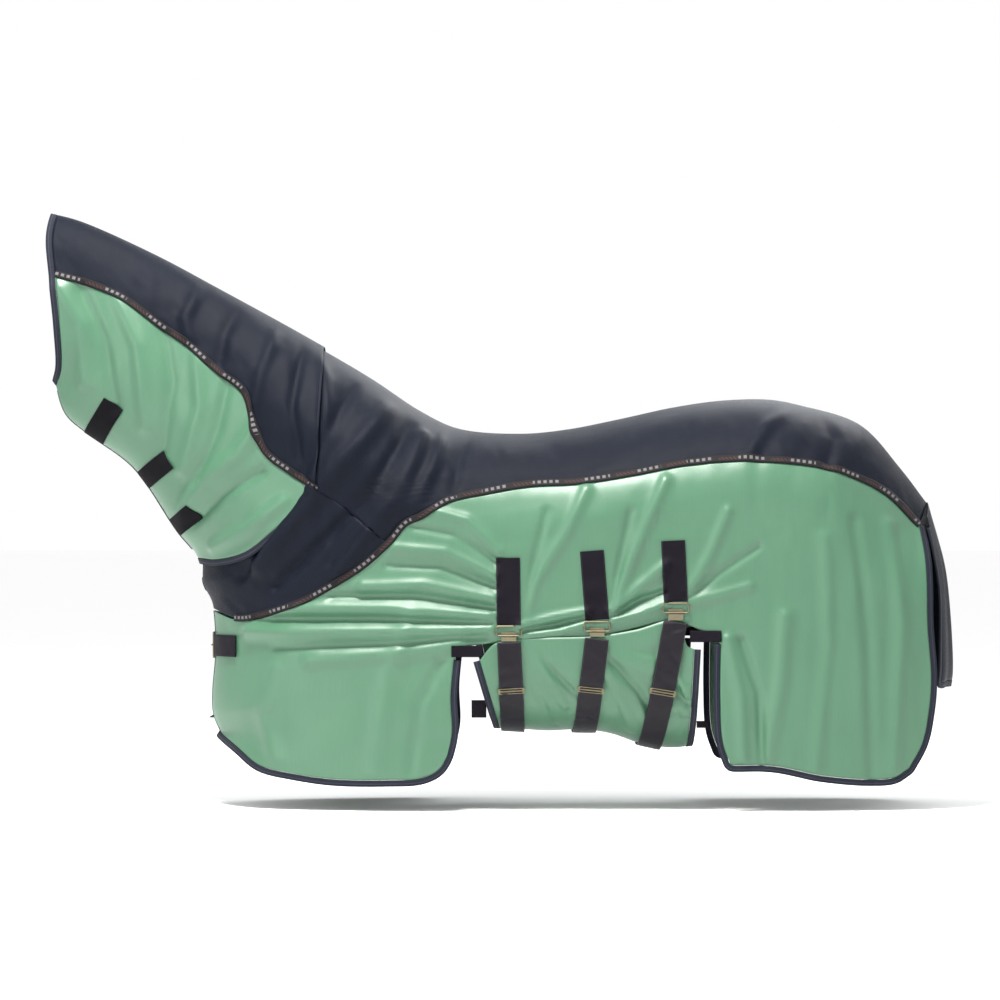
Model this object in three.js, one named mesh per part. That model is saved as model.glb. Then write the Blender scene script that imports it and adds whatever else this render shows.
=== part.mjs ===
import * as THREE from 'three';
import { mergeVertices } from 'three/addons/utils/BufferGeometryUtils.js';

// Horse rug for warm weather, worn: mesh sides, closed cloth along the back, neck cover, belly flap
// and tail flap. +X runs to the tail, the near side is at -Y, +Z is up, and the origin is on the
// outside of the cloth at the dip of the back. Millimetres.

// Driving dimensions.
const rugLength = 1690; // front of the chest to the rear edge
const rugDrop = 880; // top of the rump to the lowest hem
const barrelWidth = 600;
const clothThickness = 3;
const webbingWidth = 54;
const webbingThickness = 3;
const tapeWidth = 16;
const tapeThickness = 1.5;
const bindingWidth = 15;
const bindingThickness = 5;
const slotBarHeight = 26;
const slotBarLength = 71;
const ringWire = 4;
const ringHeight = 22; // between the centres of its long bars
const hookHeadWidth = 34;
const hookThickness = 2.5;
const sliderHeight = 14;
const sliderThickness = 2.5;
const chestStrapWidth = 50;
const chestStrapHeight = -490; // level of its middle
const tailFlapWidth = 340;
const seamGap = 0.4; // between pieces sewn face to face
const bindingGap = 0.8; // between an edge and the fold of its binding
const layerGap = 0.8;
const coverGap = 5; // neck cover over the yokes
const tapeGap = 1.5;
const strapGap = 3.8; // belly straps over the flap
const tabGap = 1.8; // between cloth and what is sewn on it
const seamReach = 6; // cloth edges under a woven tape
const underlap = 26; // yoke under the neck cover

// The pattern is drafted at one size and graded to the driving dimensions.
const draft = { length: 1690, drop: 880, width: 600 };
const gradeX = (x) => x * rugLength / draft.length;
const gradeZ = (z) => z * rugDrop / draft.drop;
const gradeY = (y) => y * barrelWidth / draft.width;

const cloth = { color: 0x2d3444, roughness: 0.75, metalness: 0 };
const mesh = { color: 0x78b991, roughness: 0.45, metalness: 0 };
const binding = { color: 0x3c4155, roughness: 0.8, metalness: 0 };
const webbing = { color: 0x2a2234, roughness: 0.85, metalness: 0 };
const woven = { color: 0x6b6468, roughness: 0.7, metalness: 0 };
const brass = { color: 0x9a8a5a, roughness: 0.35, metalness: 0.9 };

const rug = new THREE.Group();

function addPiece(name, geometry, look) {
  const piece = new THREE.Mesh(geometry, new THREE.MeshStandardMaterial(look));
  piece.name = name;
  rug.add(piece);
  return piece;
}

// A line of the side view, through a few graded points.
function sideLine(points) {
  const graded = points.map(([x, z]) => new THREE.Vector3(gradeX(x), 0, gradeZ(z)));
  const curve = new THREE.CatmullRomCurve3(graded, false, 'centripetal');
  curve.arcLengthDivisions = 400;
  return (t) => {
    const point = curve.getPointAt(Math.min(Math.max(t, 0), 1));
    return [point.x, point.z];
  };
}

const partOf = (line, from, to) => (t) => line(from + (to - from) * t);
const moved = (line, dx, dz) => (t) => {
  const [x, z] = line(t);
  return [x + dx, z + dz];
};

// The share of a line at which it reaches a given x or z.
function shareAt(line, axis, value) {
  let best = 0;
  for (let i = 0; i <= 2000; i += 1) {
    if (Math.abs(line(i / 2000)[axis] - value) < Math.abs(line(best)[axis] - value)) {
      best = i / 2000;
    }
  }
  return best;
}

// Outlines: topline and underline of the neck and chest, seams and edges.
const topLine = sideLine([[-1090, 504], [-1023, 486], [-851, 409], [-701, 329], [-506, 222], [-345, 128],
  [-230, 52], [-143, 12], [0, 0], [110, 10], [232, 34], [356, 61], [470, 77], [580, 79], [650, 66],
  [789, 21], [883, -80], [943, -159]]);
const throatLine = sideLine([[-1083, 113], [-1053, 50], [-1003, 9], [-892, -72], [-789, -221], [-740, -285],
  [-735, -347], [-713, -396], [-706, -506], [-713, -600], [-711, -651], [-695, -690]]);
const headLine = sideLine([[-1083, 113], [-1072, 152], [-1074, 240], [-1086, 360], [-1096, 450],
  [-1090, 504]]);
const bodySeam = sideLine([[-713, -405], [-649, -425], [-584, -414], [-501, -386], [-439, -354],
  [-359, -304], [-299, -251], [-260, -206], [-225, -190], [-161, -152], [-76, -133], [23, -117],
  [140, -110], [264, -90], [375, -69], [508, -60], [685, -76], [828, -131], [915, -212]]);
const neckSeam = sideLine([[-1087, 370], [-991, 343], [-911, 308], [-833, 251], [-761, 202], [-688, 140],
  [-628, 92], [-603, 15], [-575, -45], [-520, -88], [-455, -129]]);
const neckHem = sideLine([[-740, -285], [-695, -290], [-628, -274], [-559, -223], [-483, -159],
  [-455, -129]]);
const rearEdge = sideLine([[915, -212], [925, -301], [928, -442], [936, -559], [930, -640], [916, -708],
  [885, -765]]);

// Half of the rug's width, and how far in from the outline it rounds to that width.
const widthLine = sideLine([[-1100, 92], [-1000, 102], [-870, 116], [-740, 142], [-620, 196], [-480, 252],
  [-330, 288], [-200, 300], [130, 300], [470, 300], [640, 296], [780, 274], [880, 244], [960, 212]]);
const crownDepth = gradeZ(235);
const chestDepth = gradeX(195);
const sampleLine = (line) => Array.from({ length: 161 }, (_, i) => line(i / 160));
const topSamples = sampleLine(topLine);
const throatSamples = sampleLine(throatLine);

// Height of a side line at a given x, for a line that runs from front to rear.
function heightOver(line) {
  const samples = sampleLine(line);
  return (x) => {
    const found = samples.findIndex((sample) => sample[0] > x);
    const i = found < 0 ? samples.length - 1 : Math.max(found, 1);
    const share = Math.min(Math.max((x - samples[i - 1][0]) / (samples[i][0] - samples[i - 1][0]), 0), 1);
    return samples[i - 1][1] + (samples[i][1] - samples[i - 1][1]) * share;
  };
}

const draftWidthAt = heightOver(widthLine);
const widthAt = (x) => gradeY(draftWidthAt(x) * draft.drop / rugDrop);

// Distance from an outline and the direction straight in from it; turn is the inner side of the line.
function insetFrom(samples, x, z, turn) {
  let nearest = { depth: Infinity };
  for (let i = 1; i < samples.length; i += 1) {
    const [ax, az] = samples[i - 1];
    const [bx, bz] = samples[i];
    const length2 = (bx - ax) ** 2 + (bz - az) ** 2;
    const share = Math.min(Math.max(((x - ax) * (bx - ax) + (z - az) * (bz - az)) / length2, 0), 1);
    const dx = x - ax - share * (bx - ax);
    const dz = z - az - share * (bz - az);
    const depth = Math.hypot(dx, dz);
    if (depth < nearest.depth) {
      const straightIn = [turn * (az - bz) / Math.sqrt(length2), turn * (bx - ax) / Math.sqrt(length2)];
      nearest = { depth, inward: depth > 0.05 ? [dx / depth, dz / depth] : straightIn };
    }
  }
  return nearest;
}

const rounding = (share) => (share >= 1 ? 1 : Math.sqrt(1 - (1 - share) ** 2));
const roundingSlope = (share) => (share >= 1 ? 0 : (1 - share) / Math.max(rounding(share), 0.02));

function halfWidth(x, z) {
  const crown = rounding(insetFrom(topSamples, x, z, -1).depth / crownDepth);
  return widthAt(x) * crown * rounding(insetFrom(throatSamples, x, z, 1).depth / chestDepth);
}

// Outward direction of the rug's surface; side is -1 on the near side and 1 on the off side.
function outwardAt(x, z, side) {
  const top = insetFrom(topSamples, x, z, -1);
  const throat = insetFrom(throatSamples, x, z, 1);
  const width = widthAt(x);
  const crown = width * roundingSlope(top.depth / crownDepth) / crownDepth * rounding(throat.depth / chestDepth);
  const chest = width * roundingSlope(throat.depth / chestDepth) / chestDepth * rounding(top.depth / crownDepth);
  const taper = (widthAt(x + 4) - widthAt(x - 4)) / 8 * rounding(top.depth / crownDepth)
    * rounding(throat.depth / chestDepth);
  const slopeX = crown * top.inward[0] + chest * throat.inward[0] + taper;
  const slopeZ = crown * top.inward[1] + chest * throat.inward[1];
  return new THREE.Vector3(-slopeX, side, -slopeZ).normalize();
}

function onRug([x, z], side, lift = 0) {
  const out = outwardAt(x, z, side);
  return new THREE.Vector3(x, side * halfWidth(x, z), z).addScaledVector(out, lift);
}

// A Coons patch of the side view between four lines; both start at its lower left corner.
function patch(bottom, top, left, right) {
  const corners = [bottom(0), bottom(1), top(0), top(1)];
  return (u, v) => [0, 1].map((k) => (1 - v) * bottom(u)[k] + v * top(u)[k] + (1 - u) * left(v)[k]
    + u * right(v)[k] - (1 - u) * (1 - v) * corners[0][k] - u * (1 - v) * corners[1][k]
    - (1 - u) * v * corners[2][k] - u * v * corners[3][k]);
}

// A line of straight runs.
function brokenLine(points) {
  const path = new THREE.CurvePath();
  points.slice(1).forEach(([x, z], i) => {
    path.add(new THREE.LineCurve(new THREE.Vector2(...points[i]), new THREE.Vector2(x, z)));
  });
  return (t) => path.getPointAt(Math.min(Math.max(t, 0), 1)).toArray();
}

const even = (t) => t;
const closeAtStart = (t) => 1 - Math.cos(t * Math.PI / 2);
const closeAtEnd = (t) => Math.sin(t * Math.PI / 2);

// A closed body from matching outer and inner grids of points, rows[i][j].
function closedSheet(outer, inner) {
  const rows = outer.length;
  const columns = outer[0].length;
  const positions = [];
  [outer, inner].forEach((grid) => grid.forEach((row) => row.forEach((p) => positions.push(p.x, p.y, p.z))));
  const at = (layer, i, j) => (layer * rows + i) * columns + j;
  const index = [];
  const quad = (a, b, c, d) => index.push(a, b, c, a, c, d);
  for (let i = 1; i < rows; i += 1) {
    for (let j = 1; j < columns; j += 1) {
      quad(at(0, i - 1, j - 1), at(0, i, j - 1), at(0, i, j), at(0, i - 1, j));
      quad(at(1, i - 1, j - 1), at(1, i - 1, j), at(1, i, j), at(1, i, j - 1));
    }
  }
  for (let i = 1; i < rows; i += 1) {
    quad(at(0, i - 1, 0), at(1, i - 1, 0), at(1, i, 0), at(0, i, 0));
    quad(at(0, i, columns - 1), at(1, i, columns - 1), at(1, i - 1, columns - 1), at(0, i - 1, columns - 1));
  }
  for (let j = 1; j < columns; j += 1) {
    quad(at(0, 0, j), at(1, 0, j), at(1, 0, j - 1), at(0, 0, j - 1));
    quad(at(0, rows - 1, j - 1), at(1, rows - 1, j - 1), at(1, rows - 1, j), at(0, rows - 1, j));
  }
  return facingOut(positions, index);
}

function facingOut(positions, index) {
  const geometry = new THREE.BufferGeometry();
  geometry.setAttribute('position', new THREE.Float32BufferAttribute(positions, 3));
  const corner = (k) => new THREE.Vector3().fromArray(positions, index[k] * 3);
  let volume = 0;
  for (let k = 0; k < index.length; k += 3) {
    volume += corner(k).dot(corner(k + 1).cross(corner(k + 2)));
  }
  geometry.setIndex(volume > 0 ? index : index.slice().reverse());
  return mergeVertices(geometry, 1e-4);
}

// One panel of cloth on one side; keepOff holds its edge clear of the centre line.
function sidePanel(side, shape, { columns, rows, easeU = even, easeV = even, lift = 0, keepOff = seamGap }) {
  const held = (p) => new THREE.Vector3(p.x, side * Math.max(side * p.y, keepOff), p.z);
  const grid = (height) => Array.from({ length: rows + 1 }, (_, j) => (
    Array.from({ length: columns + 1 }, (__, i) => (
      held(onRug(shape(easeU(i / columns), easeV(j / rows)), side, height))))));
  return closedSheet(grid(lift), grid(lift - clothThickness));
}

// One panel of cloth over the spine, from near side to off side.
function topPanel(shape, { columns, rows, lift = 0 }) {
  const halfRow = (side, height, j) => Array.from({ length: columns + 1 }, (_, i) => {
    const point = onRug(shape(i / columns, closeAtEnd(j / rows)), side, height);
    return j === rows ? new THREE.Vector3(point.x, 0, point.z) : point;
  });
  const grid = (height) => {
    const near = Array.from({ length: rows + 1 }, (_, j) => halfRow(-1, height, j));
    const off = Array.from({ length: rows }, (_, j) => halfRow(1, height, rows - 1 - j));
    return near.concat(off);
  };
  return closedSheet(grid(lift), grid(lift - clothThickness));
}

// A flat band that follows frames of point, outward direction and direction across.
function band(frames, { from, to, inner, outer, closed = false }) {
  const corners = frames.map(({ point, out, across }) => [[from, inner], [to, inner], [to, outer], [from, outer]]
    .map(([a, o]) => point.clone().addScaledVector(across, a).addScaledVector(out, o)));
  const positions = corners.flat().flatMap((p) => [p.x, p.y, p.z]);
  const index = [];
  const count = corners.length;
  for (let i = 0; i < (closed ? count : count - 1); i += 1) {
    const next = (i + 1) % count;
    for (let k = 0; k < 4; k += 1) {
      const a = i * 4 + k;
      const b = i * 4 + (k + 1) % 4;
      const c = next * 4 + (k + 1) % 4;
      const d = next * 4 + k;
      index.push(a, b, c, a, c, d);
    }
  }
  if (!closed) {
    const last = (count - 1) * 4;
    index.push(0, 2, 1, 0, 3, 2, last, last + 1, last + 2, last, last + 2, last + 3);
  }
  return facingOut(positions, index);
}

// Frames along points that carry their outward direction; turn is 1 or -1, the side of the band.
function framesAlong(stations, turn, closed = false) {
  const count = stations.length;
  return stations.map(({ point, out }, i) => {
    const before = stations[closed ? (i + count - 1) % count : Math.max(i - 1, 0)].point;
    const after = stations[closed ? (i + 1) % count : Math.min(i + 1, count - 1)].point;
    const arrive = point.clone().sub(before);
    const leave = after.clone().sub(point);
    const a = (arrive.length() > 1e-6 ? arrive : leave).clone().normalize();
    const b = (leave.length() > 1e-6 ? leave : arrive).clone().normalize();
    const along = a.clone().add(b).normalize();
    const across = along.clone().cross(out).normalize().multiplyScalar(turn);
    return { point, out, across: across.divideScalar(Math.max(along.dot(a), 0.6)) };
  });
}

const stationsOn = (line, side, count) => Array.from({ length: count + 1 }, (_, i) => {
  const place = line(i / count);
  return { point: onRug(place, side), out: outwardAt(place[0], place[1], side) };
});

const sides = [['left', -1], ['right', 1]];
const topFrom = shareAt(topLine, 0, gradeX(-457));
const seamSplit = shareAt(bodySeam, 0, gradeX(-299));
const straight = (a, b) => (t) => [a[0] + (b[0] - a[0]) * t, a[1] + (b[1] - a[1]) * t];
const graded = (x, z) => [gradeX(x), gradeZ(z)];

// Navy back panel, from the neck cover to the dock.
const crestFoot = graded(-457, -129);
const backFront = (t) => (t < 0.35 ? straight(bodySeam(seamSplit), crestFoot)(t / 0.35)
  : straight(crestFoot, topLine(topFrom))((t - 0.35) / 0.65));
const backRear = (t) => {
  const [x0, z0] = bodySeam(1);
  const [x1, z1] = topLine(1);
  return [x0 + (x1 - x0) * t, z0 + (z1 - z0) * t];
};
const backShape = patch(partOf(bodySeam, seamSplit, 1), partOf(topLine, topFrom, 1), backFront, backRear);
addPiece('back_panel', topPanel(backShape, { columns: 30, rows: 6 }), cloth);

// Navy shoulder yokes.
const throatUnderlap = shareAt(throatLine, 1, gradeZ(-285) + underlap * 0.8);
const seamStart = shareAt(throatLine, 1, gradeZ(-405));
const backSeamRun = new THREE.Vector2(...crestFoot).sub(new THREE.Vector2(...bodySeam(seamSplit))).normalize();
const yokeCorner = [crestFoot[0] + backSeamRun.x * underlap, crestFoot[1] + backSeamRun.y * underlap];
const hemUnder = moved(neckHem, -underlap * 0.62, underlap * 0.78);
const yokeTop = (t) => hemUnder(t).map((value, k) => value + (yokeCorner[k] - hemUnder(1)[k]) * t ** 2);
const yokeShape = patch(partOf(bodySeam, 0, seamSplit), yokeTop,
  (t) => throatLine(seamStart + (throatUnderlap - seamStart) * t),
  straight(bodySeam(seamSplit), yokeCorner));
sides.forEach(([name, side]) => {
  const shape = (u, v) => {
    const [x, z] = yokeShape(u, v);
    return [x - seamGap * 3 * u, z - seamGap * 2 * u];
  };
  addPiece(`${name}_yoke`, sidePanel(side, shape, { columns: 10, rows: 6, easeU: closeAtStart }), cloth);
});

// Mesh sides: front quarter, flank and hind quarter, with a leg slot before and behind the flank.
const quarterColumns = 12;
const quarterRows = 9;
const slotFront = { x: gradeX(-121), z: gradeZ(-485) };
const slotRear = { x: gradeX(421), z: gradeZ(-455) };
const seamEdge = moved(bodySeam, 0, -seamReach);
const frontSeam = shareAt(bodySeam, 0, slotFront.x);
const rearSeam = shareAt(bodySeam, 0, slotRear.x);
const chestTop = shareAt(throatLine, 1, gradeZ(-405) - seamReach);
const frontHem = sideLine([[-695, -680], [-650, -712], [-596, -752], [-520, -770], [-430, -783],
  [-300, -786], [-225, -783], [-185, -765], [-166, -735]]);
const joined = (first, second, split) => (t) => (t < split ? first(t / split)
  : second((t - split) / (1 - split)));
const bindingRows = 3 / quarterRows;
const frontSlot = joined(sideLine([[-166, -735], [-155, -683], [-158, -600], [-151, -516]]),
  brokenLine([graded(-151, -516), graded(-136, -499), [slotFront.x, slotFront.z], seamEdge(frontSeam)]),
  bindingRows);
const hindSlot = joined(sideLine([[476, -755], [458, -700], [453, -605], [454, -482]]),
  brokenLine([graded(454, -482), graded(440, -464), [slotRear.x, slotRear.z], seamEdge(rearSeam)]),
  bindingRows);
const hindHem = sideLine([[476, -755], [575, -757], [685, -779], [800, -789], [850, -785], [885, -765]]);
const tailEdge = (t) => rearEdge(1 - t);
const frontShape = patch(frontHem, partOf(seamEdge, 0, frontSeam),
  (t) => throatLine(1 + (chestTop - 1) * t), frontSlot);
const hindShape = patch(hindHem, partOf(seamEdge, rearSeam, 1), hindSlot, tailEdge);
const flankHem = sideLine([[-120, -500], [-26, -474], [172, -463], [350, -430], [420, -463]]);
const offHem = sideLine([[-120, -480], [150, -480], [420, -480]]);

function flankShape(hem) {
  const left = straight([slotFront.x + seamGap * 2, hem(0)[1]], seamEdge(frontSeam));
  const right = straight([slotRear.x - seamGap * 2, hem(1)[1]], seamEdge(rearSeam));
  const inset = (line, t, dx) => [line(t)[0] + dx, line(t)[1]];
  return patch(hem, partOf(seamEdge, frontSeam, rearSeam), (t) => inset(left, t, seamGap),
    (t) => inset(right, t, -seamGap));
}

function panelEdge(side, shape, path, ease = [even, even]) {
  return path.map(([u, v]) => {
    const place = shape(ease[0](u), ease[1](v));
    return { point: onRug(place, side), out: outwardAt(place[0], place[1], side) };
  });
}

const ramp = (from, to, count) => Array.from({ length: count + 1 }, (_, i) => from + (to - from) * i / count);
const bindingSize = { from: bindingGap, to: bindingWidth, inner: -(bindingThickness + clothThickness) / 2,
  outer: (bindingThickness - clothThickness) / 2 };

// Bindings follow the edge points of their panels.
function quarterBinding(side, shape, ease, first, columns, rows, topShares) {
  const [startShare, endShare] = topShares;
  const up = ramp(0, startShare, Math.round(rows * startShare)).map((v) => [0, v]).reverse();
  const along = ramp(0, 1, columns).slice(1, -1).map((u) => [u, 0]);
  const down = ramp(0, endShare, Math.round(rows * endShare)).map((v) => [1, v]);
  const stations = panelEdge(side, shape, [...up, ...along, ...down], ease);
  const kept = stations.map(({ point, out }) => ({
    point: new THREE.Vector3(point.x, side * Math.max(side * point.y, first), point.z), out }));
  return band(framesAlong(kept, -side), bindingSize);
}

const quarterGrid = { columns: quarterColumns, rows: quarterRows };
const chestKeepOff = bindingWidth + seamGap;
sides.forEach(([name, side]) => {
  const { columns, rows } = quarterGrid;
  addPiece(`${name}_front_quarter`, sidePanel(side, frontShape,
    { columns, rows, easeU: closeAtStart, keepOff: chestKeepOff }), mesh);
  addPiece(`${name}_front_binding`, quarterBinding(side, frontShape, [closeAtStart, even], chestKeepOff,
    columns, rows, [1, bindingRows]), binding);
  addPiece(`${name}_flank`, sidePanel(side, flankShape(side < 0 ? flankHem : offHem),
    { columns: 12, rows: 5 }), mesh);
  addPiece(`${name}_hind_quarter`, sidePanel(side, hindShape, { columns, rows }), mesh);
  addPiece(`${name}_hind_binding`, quarterBinding(side, hindShape, [even, even], 0,
    columns, rows, [bindingRows, 1]), binding);
});

// Woven tapes over the seams.
const tapeSize = { from: -tapeWidth / 2, to: tapeWidth / 2, inner: tapeGap, outer: tapeGap + tapeThickness };
const neckLift = clothThickness + coverGap;
const tapeStart = shareAt(bodySeam, 0, gradeX(-655));
sides.forEach(([name, side]) => {
  const stations = stationsOn(partOf(bodySeam, tapeStart, 1), side, 44);
  addPiece(`${name}_body_tape`, band(framesAlong(stations, side), tapeSize), woven);
});

// Neck cover: navy crest and two mesh sides, lying over the yokes.
const crestStart = shareAt(headLine, 1, gradeZ(370));
const headEdge = moved(headLine, bindingWidth, 0);
const neckTop = partOf(topLine, 0, topFrom);
const crestShape = patch((t) => neckSeam(t), (t) => neckTop(t), (t) => headLine(crestStart + (1 - crestStart) * t),
  straight(crestFoot, topLine(topFrom)));
const inFrom = (line, u) => [line[0] + bindingWidth * (1 - u) ** 6, line[1]];
addPiece('neck_crest', topPanel((u, v) => inFrom(crestShape(u, v), u), { columns: 16, rows: 5, lift: neckLift }),
  cloth);
const throatEnd = shareAt(throatLine, 1, gradeZ(-285));
const sideStart = shareAt(headLine, 1, gradeZ(370) - seamReach);
const hemToSeam = (t) => [neckHem(t)[0] - t ** 8 * seamReach / 2, neckHem(t)[1] - t ** 8 * seamReach];
const neckShape = patch(partOf(throatLine, 0, throatEnd), moved(neckSeam, -seamReach / 2, -seamReach),
  (t) => headLine(sideStart * t), hemToSeam);
sides.forEach(([name, side]) => {
  addPiece(`${name}_neck_side`, sidePanel(side, (u, v) => inFrom(neckShape(u, v), u),
    { columns: 16, rows: 8, easeV: closeAtStart, lift: neckLift }), mesh);
  const stations = stationsOn(partOf(neckSeam, 0.02, 1), side, 30).map(({ point, out }) => (
    { point: point.addScaledVector(out, neckLift), out }));
  addPiece(`${name}_neck_tape`, band(framesAlong(stations, side), tapeSize), woven);
});

// Bindings that cross the centre line, from the near side to the off side.
function acrossCentre(line, count, lift, ease) {
  const near = Array.from({ length: count + 1 }, (_, i) => {
    const place = line(ease(i / count));
    const out = outwardAt(place[0], place[1], -1);
    const onCentre = halfWidth(place[0], place[1]) < 0.5;
    const direction = onCentre ? new THREE.Vector3(out.x, 0, out.z).normalize() : out;
    return { point: onRug(place, -1).setY(onCentre ? 0 : -halfWidth(...place)).addScaledVector(direction, lift),
      out: direction };
  });
  const off = near.slice(0, -1).reverse().map(({ point, out }) => (
    { point: point.clone().multiply(new THREE.Vector3(1, -1, 1)), out: out.clone().multiply(new THREE.Vector3(1, -1, 1)) }));
  return near.concat(off);
}

const headStations = acrossCentre((t) => headEdge(t), 18, neckLift, (t) => (1 - Math.cos(t * Math.PI)) / 2);
addPiece('head_binding', band(framesAlong(headStations.slice(0, -1), -1, true), { ...bindingSize, from: bindingGap * 1.5, closed: true }),
  binding);
const hemStations = acrossCentre((t) => neckHem(0.94 * (1 - t)), 16, neckLift, closeAtEnd);
addPiece('neck_hem_binding', band(framesAlong(hemStations, -1),
  { ...bindingSize, inner: coverGap * 0.6 - neckLift }), binding);

// Throat binding, under the closed edges of the neck sides.
const throatStations = Array.from({ length: 17 }, (_, i) => {
  const [x, z] = throatLine(throatEnd * (0.02 + 0.93 * i / 16));
  const out = outwardAt(x, z, -1).setY(0).normalize();
  return { point: new THREE.Vector3(x, 0, z).addScaledVector(out, neckLift), out };
});
addPiece('throat_binding', band(framesAlong(throatStations, 1),
  { from: -tapeWidth / 2, to: tapeWidth / 2, inner: layerGap, outer: layerGap + tapeThickness }), binding);

// Hook-and-loop tabs, from the throat up the near side of the neck: foot, length, width, stand-off.
const tabs = [['upper', gradeX(-984), 88, 52, 0.8], ['middle', gradeX(-866), 74, 48, 2],
  ['lower', gradeX(-794), 62, 44, 0.6]];
tabs.forEach(([name, x, length, width, standOff]) => {
  const foot = throatLine(shareAt(throatLine, 0, x));
  const inward = outwardAt(foot[0], foot[1], -1).setY(0).normalize().negate();
  const turns = ramp(0.16, Math.acos(1 - length / chestDepth), 7);
  const stations = turns.map((angle) => {
    const depth = chestDepth * (1 - Math.cos(angle));
    const place = [foot[0] + inward.x * depth, foot[1] + inward.z * depth];
    const out = outwardAt(place[0], place[1], -1);
    return { point: onRug(place, -1, neckLift), out };
  });
  addPiece(`neck_tab_${name}`, band(framesAlong(stations, 1),
    { from: -width / 2, to: width / 2, inner: standOff,
      outer: standOff + webbingThickness }), webbing);
});

// Belly flap: a trough from the near side, under the belly, to its seam on the off side.
const flapPower = 2 / 3;
const flapSeam = gradeZ(-482);
const flapEdge = sideLine([[-92, -517], [-62, -482], [-26, -470], [60, -466], [172, -462], [260, -448],
  [350, -426], [366, -446], [378, -484], [394, -492]]);
const flapBottom = sideLine([[-62, -680], [60, -687], [179, -688], [271, -714], [340, -727], [392, -723]]);
const flapFrontX = (depth) => gradeX(-92 + 47 * depth);
const flapRearX = (depth) => gradeX(394 - 12 * depth);
const flapHalf = gradeY(300);
const flapLift = clothThickness + layerGap * 2;
const flapEdgeAt = heightOver(flapEdge);
const flapBottomAt = heightOver(flapBottom);

function flapPoint(share, turn) {
  const depth = Math.abs(Math.sin(turn)) ** flapPower;
  const across = Math.sign(Math.cos(turn)) * Math.abs(Math.cos(turn)) ** flapPower;
  const x = flapFrontX(depth) + (flapRearX(depth) - flapFrontX(depth)) * share;
  const nearEdge = flapEdgeAt(flapFrontX(0) + (flapRearX(0) - flapFrontX(0)) * share);
  const edge = nearEdge + (flapSeam - nearEdge) * turn / Math.PI;
  return new THREE.Vector3(x, -(flapHalf + flapLift / 2) * across - flapLift / 2,
    edge + (flapBottomAt(x) - edge) * depth);
}

function flapStation(share, turn) {
  const step = 1e-3;
  const early = Math.max(turn - step, 1e-4);
  const late = Math.min(turn + step, Math.PI - 1e-4);
  const round = flapPoint(share, late).sub(flapPoint(share, early));
  const along = flapPoint(share + step, turn).sub(flapPoint(share - step, turn));
  return { point: flapPoint(share, turn), out: along.cross(round).normalize().negate() };
}

const flapTurns = ramp(0, Math.PI, 28);
const flapGrid = (height) => flapTurns.map((turn) => ramp(0, 1, 11).map((share) => {
  const { point, out } = flapStation(share, turn);
  return point.addScaledVector(out, height);
}));
addPiece('belly_flap', closedSheet(flapGrid(0), flapGrid(-clothThickness)), mesh);
[['front', 0, 1], ['rear', 1, -1]].forEach(([name, share, turn]) => {
  const stations = flapTurns.map((angle) => flapStation(share, angle));
  addPiece(`flap_${name}_binding`, band(framesAlong(stations, turn), bindingSize), binding);
});

// Surcingles: patch, ring, hook, strap, slider and off side anchor. Places along the rug and heights.
const surcingles = [
  { name: 'front', top: graded(-28, -285), end: graded(-26, -437), foot: gradeX(-16) },
  { name: 'middle', top: graded(162, -269), end: graded(174, -425), foot: gradeX(147) },
  { name: 'rear', top: graded(346, -246), end: graded(352, -384), foot: gradeX(296) },
];
const ringClearance = 1.2; // hook behind the ring
const hookBaseHeight = 9; // least height of a hook's strap bar
const hookHeadReach = 12; // hook's head above its web

function slab(width, height, thickness, corner, holes = []) {
  const shape = new THREE.Shape();
  const w = width / 2;
  const h = height / 2;
  shape.moveTo(-w + corner, -h);
  shape.lineTo(w - corner, -h);
  shape.absarc(w - corner, -h + corner, corner, -Math.PI / 2, 0);
  shape.lineTo(w, h - corner);
  shape.absarc(w - corner, h - corner, corner, 0, Math.PI / 2);
  shape.lineTo(-w + corner, h);
  shape.absarc(-w + corner, h - corner, corner, Math.PI / 2, Math.PI);
  shape.lineTo(-w, -h + corner);
  shape.absarc(-w + corner, -h + corner, corner, Math.PI, Math.PI * 1.5);
  shape.holes = holes;
  const geometry = new THREE.ExtrudeGeometry(shape, { depth: thickness, bevelEnabled: false, curveSegments: 3 });
  return geometry;
}

function slotHole(width, height, level) {
  const hole = new THREE.Path();
  hole.moveTo(-width / 2, level - height / 2);
  hole.lineTo(-width / 2, level + height / 2);
  hole.lineTo(width / 2, level + height / 2);
  hole.lineTo(width / 2, level - height / 2);
  hole.closePath();
  return hole;
}

// Stands a flat piece against a side: its face looks out, its lower face at the given width.
function standOnSide(piece, side, x, level, inner, lean = 0) {
  piece.rotation.set(Math.PI / 2, 0, 0);
  piece.rotateZ(side < 0 ? -lean : lean);
  if (side > 0) {
    piece.rotateX(Math.PI);
  }
  piece.position.set(x, side * inner, level);
  return piece;
}

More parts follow.
